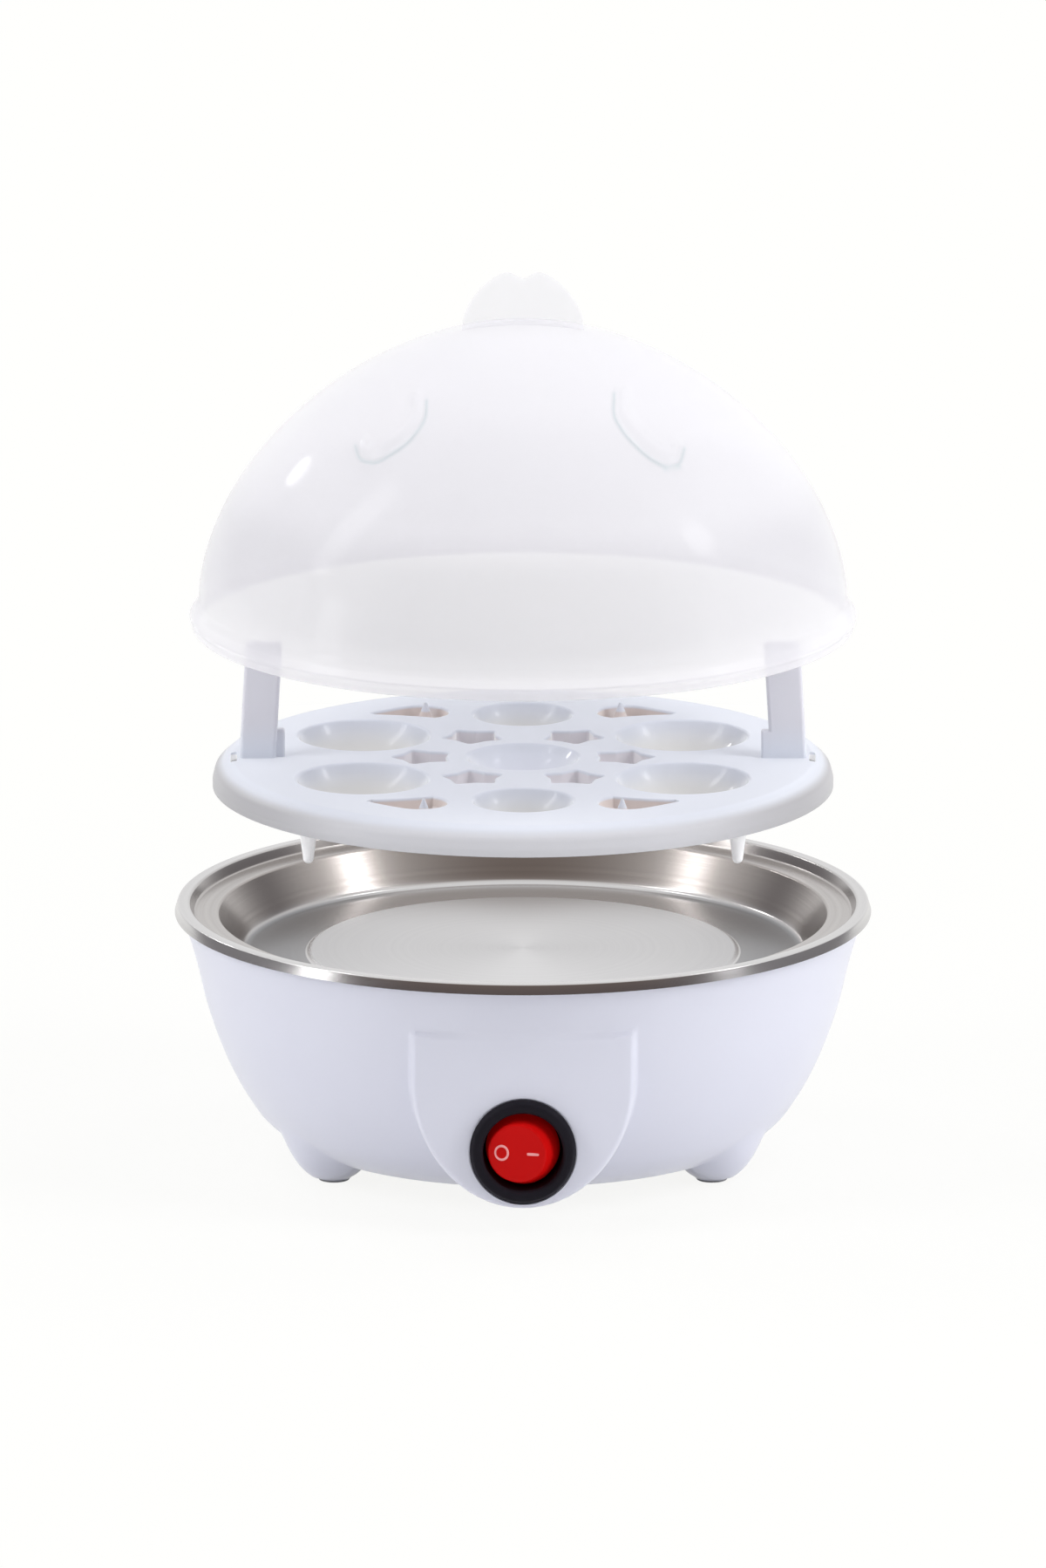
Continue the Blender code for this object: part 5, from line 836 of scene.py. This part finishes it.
def star_outline(grow):
    """Five-pointed star with rounded tips and waists, one tip towards +X, grown by a distance."""
    tip, waist = 0.0008, 0.0018
    outer, inner = STAR_RADIUS - 1.2 * tip, STAR_RADIUS * STAR_WAIST + 1.1 * waist
    index = np.arange(10)
    odd = index % 2 == 1
    corners = polar(np.where(odd, inner, outer), np.pi * index / 5)
    following = np.roll(corners, -1, axis=0) - corners
    length = np.linalg.norm(following, axis=1)
    heading = np.arctan2(following[:, 1], following[:, 0])
    first, second = np.where(odd, -waist, tip), np.where(odd, tip, -waist)
    lean = np.arcsin((first - second) / length)
    leave = heading - np.pi / 2 + lean
    sizes = np.where(odd, waist, tip)
    arrive = np.roll(leave, 1)
    starts = np.where(odd, arrive + np.pi, arrive)
    ends = np.where(odd, leave + np.pi, leave)
    turn = (ends - starts + np.pi) % (2 * np.pi) - np.pi
    return ring_of_arcs(corners, sizes, starts, starts + turn, grow)


def pocket_outline(grow):
    """Teardrop along the tray's edge: a circle that shrinks while its centre runs along an arc."""
    share = np.linspace(0.0, 1.0, 14)
    angle = POCKET_START - POCKET_SWEEP * share
    circle = POCKET_CIRCLE + 0.0048 * share
    radius = POCKET_RADIUS + (0.0006 - POCKET_RADIUS) * share + grow
    cap_angle = POCKET_START + np.linspace(0.0, np.pi, 16)[1:-1]
    cap = polar(POCKET_CIRCLE, POCKET_START) + polar(POCKET_RADIUS + grow, cap_angle)
    return np.concatenate([polar(circle - radius, angle)[::-1], cap[::-1], polar(circle + radius, angle)])


def loft(outline, steps, out=0.0, degrees=0.0, quarter=(1, 1)):
    """Solid from one outline at several (height, growth) steps, closed by a point above and below.

    It is shifted outwards, turned about the axis, and mirrored to a quarter of the tray.
    """
    rings = [np.c_[outline(grow), np.full(len(outline(grow)), height)] for height, grow in steps]
    points = capped(np.array(rings))
    x, y = rotated(points[..., 0] + out, points[..., 1], math.radians(degrees))
    return surface(np.stack([x * quarter[0], y * quarter[1], points[..., 2] + TRAY_TOP], axis=-1))


def rounded_box(low, high, edge, lean=0.0, steps=10):
    """Upright bar: a rounded rectangle carried up, drawn in along a quarter circle at its top."""
    middle, half = np.add(low, high) / 2, np.subtract(high, low) / 2
    corner = np.linspace(0.0, np.pi / 2, 6)
    angle = np.concatenate([corner + k * np.pi / 2 for k in range(4)])
    quarter = np.repeat(np.arange(4), 6)
    sx = np.where((quarter == 0) | (quarter == 3), 1.0, -1.0)
    sy = np.where(quarter < 2, 1.0, -1.0)
    bend = np.linspace(0.0, np.pi / 2, 5)
    inset = np.concatenate([np.zeros(steps), edge * (1 - np.cos(bend))])
    straight = np.linspace(low[2], high[2] - edge, steps)
    height = np.concatenate([straight, high[2] - edge + edge * np.sin(bend)])
    reach = np.maximum(edge - inset, 0.00005)[:, None]
    x = middle[0] + sx * (half[0] - edge) + reach * np.cos(angle)
    y = middle[1] + sy * (half[1] - edge) + reach * np.sin(angle)
    x = x - lean * (np.maximum(height, 0.0) / high[2])[:, None]
    return capped(np.stack([x, y, height[:, None] * np.ones_like(x)], axis=-1))


def build_tray():
    """Egg tray: a turned plate with its skirt, joined to the undersides of its cups, then cut from above."""
    top = rounded(((0.0, 0.0), (0.0664, 0.0, 0.0022), (0.0686, -0.0007, 0.0020), (0.0706, -0.0024, 0.0020),
                   (TRAY_RADIUS, -0.0048, 0.0015), (TRAY_RADIUS, -SKIRT_DEPTH)), math.radians(6))
    tray = mesh_object("milky_tray", [surface(lathe(sheet(top, TRAY_WALL), 256, lift=TRAY_TOP))])
    under, ribs, collars, cuts = [], [], [], []
    for angle, opening, depth, circle in CUPS:
        middle = polar(circle, math.radians(angle))
        shell = cup_outline(opening, depth, CUP_WALL, LIP_ROUND)
        hollow = cup_outline(opening, depth, 0.0, 0.0009)
        under.append(surface(lathe(shell, 72, middle, TRAY_TOP)))
        cuts.append(surface(lathe(hollow, 96, middle, TRAY_TOP)))
    bend = np.linspace(0.0, np.pi / 2, 6)
    lip_height, lip_grow = -LIP_ROUND * (1 - np.sin(bend)), LIP_ROUND * (1 - np.cos(bend))
    upper = list(zip(lip_height, lip_grow)) + [(0.0040, LIP_ROUND)]
    collar = [(-STAR_DEPTH, 0.0008), (0.0003 - STAR_DEPTH, 0.0011), (-TRAY_WALL / 2, 0.0011)]
    for angle in range(0, 360, 60):
        collars.append(loft(star_outline, collar, STAR_CIRCLE, angle))
        cuts.append(loft(star_outline, [(-STAR_DEPTH - 0.0020, 0.0)] + upper, STAR_CIRCLE, angle))
    shell = [(-0.0044, CUP_WALL - 0.0003), (-0.0041, CUP_WALL), (-TRAY_WALL / 2, CUP_WALL)]
    floor_bend = [(-0.0030, -0.0006), (-0.0028, -0.0003), (-0.0024, 0.0)]
    for quarter in QUARTERS:
        under.append(loft(pocket_outline, shell, quarter=quarter))
        cuts.append(loft(pocket_outline, floor_bend + upper, quarter=quarter))
    for side in (1.0, -1.0):
        for box, group in ((GRIP, under), (RIB, ribs), (SLOT, cuts)):
            group.append(surface(rounded_box(*box) * (side, side, 1.0) + (0.0, 0.0, TRAY_TOP)))
    tip = np.linspace(0.0, 1.45, 8)
    tip = np.stack([LEG_TIP * np.sin(tip), LEG_TIP * (1 - np.cos(tip)) - LEG_LENGTH], axis=1)
    leg = np.concatenate([tip, [(0.0018, -0.0100), (LEG_ROOT_RADIUS, -SKIRT_DEPTH),
                                (LEG_ROOT_RADIUS, -TRAY_WALL / 2), (0.0, -TRAY_WALL / 2)]])
    for angle in LEG_ANGLES:
        under.append(surface(lathe(leg, 32, polar(LEG_CIRCLE, math.radians(angle)), TRAY_TOP)))
    for added in (under, ribs, collars):
        carve(tray, added, "UNION")
    carve(tray, cuts, "DIFFERENCE")
    spike = ((0.0, -0.0037), (0.0023, -0.0037), (0.0003, 0.0014), (0.0, 0.0016))
    spot = polar(POCKET_CIRCLE, POCKET_START) + (-0.0010, 0.0032)
    spikes = mesh_object("tray_spikes", [surface(lathe(spike, 24, spot * quarter, TRAY_TOP))
                                         for quarter in QUARTERS])
    finish_piece(tray, "tray", "milky_plastic", ["egg_tray"], 30.0, True)
    finish_piece(spikes, "tray", "milky_plastic")
    # The photographed steel reflects neither the tray nor the lid, so both stay out of its reflections.
    tray.visible_glossy = spikes.visible_glossy = False


def line_distance(x, z, line):
    """Least distance in the front view from points to a line, negative on its side away from the middle.

    The second result falls from 1 to 0 past the line's two ends.
    """
    least, ends = np.full(x.shape, 1.0), np.ones(x.shape)
    side = math.copysign(1.0, line[0][0])
    for step, ((ax, az), (bx, bz)) in enumerate(zip(line, line[1:])):
        along_x, along_z = bx - ax, bz - az
        length = math.hypot(along_x, along_z)
        run = ((x - ax) * along_x + (z - az) * along_z) / length
        share = np.clip(run, 0, length) / length
        away = np.hypot(x - ax - share * along_x, z - az - share * along_z)
        inside = side * ((x - ax) * along_z - (z - az) * along_x)
        past = np.maximum(-run if step == 0 else 0.0, run - length if step == len(line) - 2 else 0.0)
        nearest = away < np.abs(least)
        least = np.where(nearest, np.copysign(away, inside), least)
        ends = np.where(nearest, np.exp(-(np.maximum(past, 0.0) / 0.0008) ** 2), ends)
    return least, ends


def crescent_heights(points):
    """Relief of the two crescents at points of the dome: a fine raised line and a soft band beside it."""
    line, band = np.zeros(points.shape[:-1]), np.zeros(points.shape[:-1])
    for corners in CRESCENTS:
        knots = np.array(corners)
        run = np.concatenate([[0.0], np.cumsum(np.linalg.norm(np.diff(knots, axis=0), axis=1))])
        fine = np.linspace(0.0, run[-1], 40)
        curve = np.stack([hermite(fine, run, knots[:, 0]), hermite(fine, run, knots[:, 1])], axis=1)
        away, ends = line_distance(points[..., 0], points[..., 2], curve.tolist())
        line += np.exp(-(away / LINE_WIDTH) ** 2)
        within = 1 / (1 + np.exp((np.abs(points[..., 0]) - BAND_LIMIT) / 0.0003))
        band += ends * within * np.exp(-((away + BAND_AWAY) / BAND_WIDTH) ** 2)
    front = points[..., 1] < 0
    return line * front, band * front


def power(value, exponent):
    """Power of a number's size, with the number's sign."""
    return np.sign(value) * np.abs(value) ** exponent


def build_lid():
    """Clear dome, its section r = R cos(t)^(2/n), h = H sin(t)^(2/n) over a flared edge; crescents; a fin."""
    low, high = CRESCENT_ROWS
    angle = np.concatenate([np.linspace(0.0, low, 30, endpoint=False),
                            np.linspace(low, high, 78, endpoint=False), np.linspace(high, np.pi / 2, 20)])
    radius = LID_RADIUS * np.cos(angle) ** (2 / DOME_EXPONENT)
    height = LID_SHOULDER + (LID_HEIGHT - LID_SHOULDER) * np.sin(angle) ** (2 / DOME_EXPONENT)
    radius[-1] = 0.0
    flare = rounded(((0.0746, 0.0), (0.0757, 0.0003, 0.0006), (0.0760, 0.0020, 0.0008),
                     (0.0765, 0.0029, 0.0008), (0.0750, 0.0048, 0.0020), (LID_RADIUS, LID_SHOULDER)))
    outline = np.concatenate([flare[:-1], np.stack([radius, height], axis=1)])[::-1]
    azimuth = [np.arange(0.0, 360.0, 2.0)]
    for middle in (270.0 - CRESCENT_AZIMUTH, 270.0 + CRESCENT_AZIMUTH):
        azimuth.append(np.arange(middle - CRESCENT_REACH, middle + CRESCENT_REACH + 0.1, 0.5))
    azimuth = np.radians(np.unique(np.concatenate(azimuth)))
    points = turned(sheet(outline, LID_WALL), azimuth, lift=LID_BASE)
    line, band = crescent_heights(points)
    outwards = points - np.array((0.0, 0.0, LID_BASE + 0.010))
    outwards /= np.linalg.norm(outwards, axis=-1, keepdims=True)
    points += outwards * (LINE_RAISE * line + BAND_RAISE * band)[..., None]
    lid = mesh_object("clear_lid", [surface(points)])
    places = np.empty(len(lid.data.vertices) * 3)
    lid.data.vertices.foreach_get("co", places)
    relief = lid.data.attributes.new("relief", "FLOAT", "POINT")
    relief.data.foreach_set("value", crescent_heights(places.reshape(-1, 3))[0])
    finish_piece(lid, "lid", "clear_plastic", ["lid"])

    across = np.linspace(-np.pi / 2, np.pi / 2, 64)[:, None]
    section = 2 * np.pi * np.arange(40) / 40
    x = HANDLE_HALF_WIDTH * power(np.sin(across), 1.12)
    curve = LID_RADIUS ** 2 / (LID_HEIGHT - LID_SHOULDER)
    dome = LID_HEIGHT - LID_WALL / 2 - x ** 2 / (2 * curve)
    notch = NOTCH_DEPTH * np.exp(-(x / NOTCH_WIDTH) ** 2)
    crest = dome + (HANDLE_HEIGHT + LID_WALL / 2) * np.cos(across) - notch
    half = np.maximum(crest - dome - 0.0002, 0.0001) / 2
    y = HANDLE_HALF_THICKNESS * np.cos(across) ** 0.35 * power(np.cos(section), 0.5)
    z = (crest + dome + 0.0002) / 2 + half * power(np.sin(section), 0.5)
    fin = np.stack([x * np.ones_like(section), y, z + LID_BASE], axis=-1)
    fin[0] = fin[0].mean(axis=0)
    fin[-1] = fin[-1].mean(axis=0)
    handle = mesh_object("lid_fin", [surface(fin)])
    finish_piece(handle, "lid", "clear_plastic", finish="fin")
    lid.visible_glossy = handle.visible_glossy = False


def aimed(data, way, distance, height):
    """Object for a lamp or camera, set off from a point of the axis along a direction, and aimed at it."""
    obj = bpy.data.objects.new(data.name, data)
    target = Vector((0.0, 0.0, height))
    obj.location = target + distance * Vector(way).normalized()
    obj.rotation_euler = (target - obj.location).to_track_quat("-Z", "Y").to_euler()
    bpy.context.scene.collection.objects.link(obj)
    return obj


def add_lamp(name, way, distance, size, energy, lights, shape="RECTANGLE", height=0.08):
    """Area lamp that lights surfaces, or else shows in reflections alone."""
    light = bpy.data.lights.new(name, "AREA")
    light.shape = shape
    light.size, light.size_y = size
    light.energy = energy
    lamp = aimed(light, way, distance, height)
    lamp.visible_diffuse = lights
    lamp.visible_glossy = not lights


def build_studio():
    """White floor, a room that is dark in front, soft lamps, lamps for reflections alone, and the camera."""
    slab = ((0.0, 0.0), (0.4, 0.0), (6.0, 0.0), (6.0, -0.01), (0.0, -0.01))
    floor = mesh_object("studio_floor", [surface(lathe(slab, 96))])
    finish = Finish("studio floor")
    x, y, z = finish.parts(finish.place())
    near = 1.0 - ((x * x + y * y) ** 0.5).rise(0.12, 0.45)
    seen, glossy, through = finish.rays()
    shown = (seen + glossy + through).clamp()
    white = finish.node("Emission", values={"Color": (*PAPER, 1.0), "Strength": 1.0})
    grey = finish.mix(finish.noise(finish.place(), 40.0), (0.86, 0.86, 0.86), (0.88, 0.88, 0.88))
    matt = finish.principled(Base_Color=grey, Roughness=0.9)
    both = finish.node("MixShader", values={0: shown * (1.0 - 0.11 * near), 1: matt, 2: white})
    floor.data.materials.append(finish.done(both))

    world = bpy.data.worlds.new("studio")
    bpy.context.scene.world = world
    finish = Finish("studio", world)
    x, y, z = finish.parts(finish.node("TexCoord"))
    front = (0.0 - y).rise(0.10, 0.75) * (1.0 - z.rise(0.88, 0.99))
    beside = x.math("ABSOLUTE").rise(0.50, 0.80) * (1.0 - z.rise(0.35, 0.60))
    seen, glossy, through = finish.rays()
    dark = finish.mix(z.rise(0.10, 0.60), (0.075, 0.065, 0.075), (0.24, 0.19, 0.165))
    room = finish.mix(front, finish.mix(beside, (1.0, 1.0, 1.0), (0.27, 0.26, 0.27)), dark)
    ambient = finish.mix(glossy, finish.mix(front, (0.56, 0.56, 0.58), (0.235, 0.235, 0.255)), room)
    colour = finish.mix((seen + through).clamp(), ambient, PAPER)
    finish.done(finish.node("Background", values={"Color": colour, "Strength": 1.0}))

    # Lamp pairs: name, direction on the right, distance, size, power left and right, light or reflection
    for name, (x, y, z), distance, size, powers, lights in (
            ("{}", (0.795, -0.321, 0.515), 1.3, (0.50, 0.90), (6.6, 9.4), True),
            ("{} strip", (0.763, -0.067, 0.643), 1.3, (0.20, 0.75), (1.60, 0.30), False),
            ("{} low strip", (0.936, -0.322, 0.139), 1.3, (0.24, 0.50), (1.15, 0.30), False),
            ("top {}", (0.47, 0.36, 0.80), 1.4, (0.42, 0.42), (2.8, 2.8), True),
            ("{} glint", (0.47, 0.30, 0.83), 1.4, (0.16, 0.16), (0.35, 0.35), False)):
        for side, word, energy in zip((-1, 1), ("left", "right"), powers):
            add_lamp(name.format(word), (side * x, y, z), distance, size, energy, lights)
    add_lamp("left spark", (-0.680, 0.600, 0.420), 1.3, (0.14, 0.14), 0.6, False, "ELLIPSE", 0.16)
    add_lamp("right spark", (0.805, -0.110, 0.560), 1.3, (0.26, 0.26), 0.75, False, "ELLIPSE", 0.16)

    camera = bpy.data.cameras.new("camera")
    camera.type = "PERSP"
    camera.sensor_fit = "VERTICAL"
    camera.sensor_height = 36.0
    camera.lens = camera.sensor_height * CAMERA_DISTANCE / VIEW_HEIGHT
    camera.clip_start, camera.clip_end = 0.1, 20.0
    eye = aimed(camera, (0.0, -math.cos(CAMERA_RISE), math.sin(CAMERA_RISE)), CAMERA_DISTANCE, CAMERA_TARGET)
    bpy.context.scene.camera = eye
    bpy.context.scene.view_settings.view_transform = "Standard"


build_studio()
build_housing()
build_pads_and_gland()
build_bowl()
build_switch()
build_tray()
build_lid()
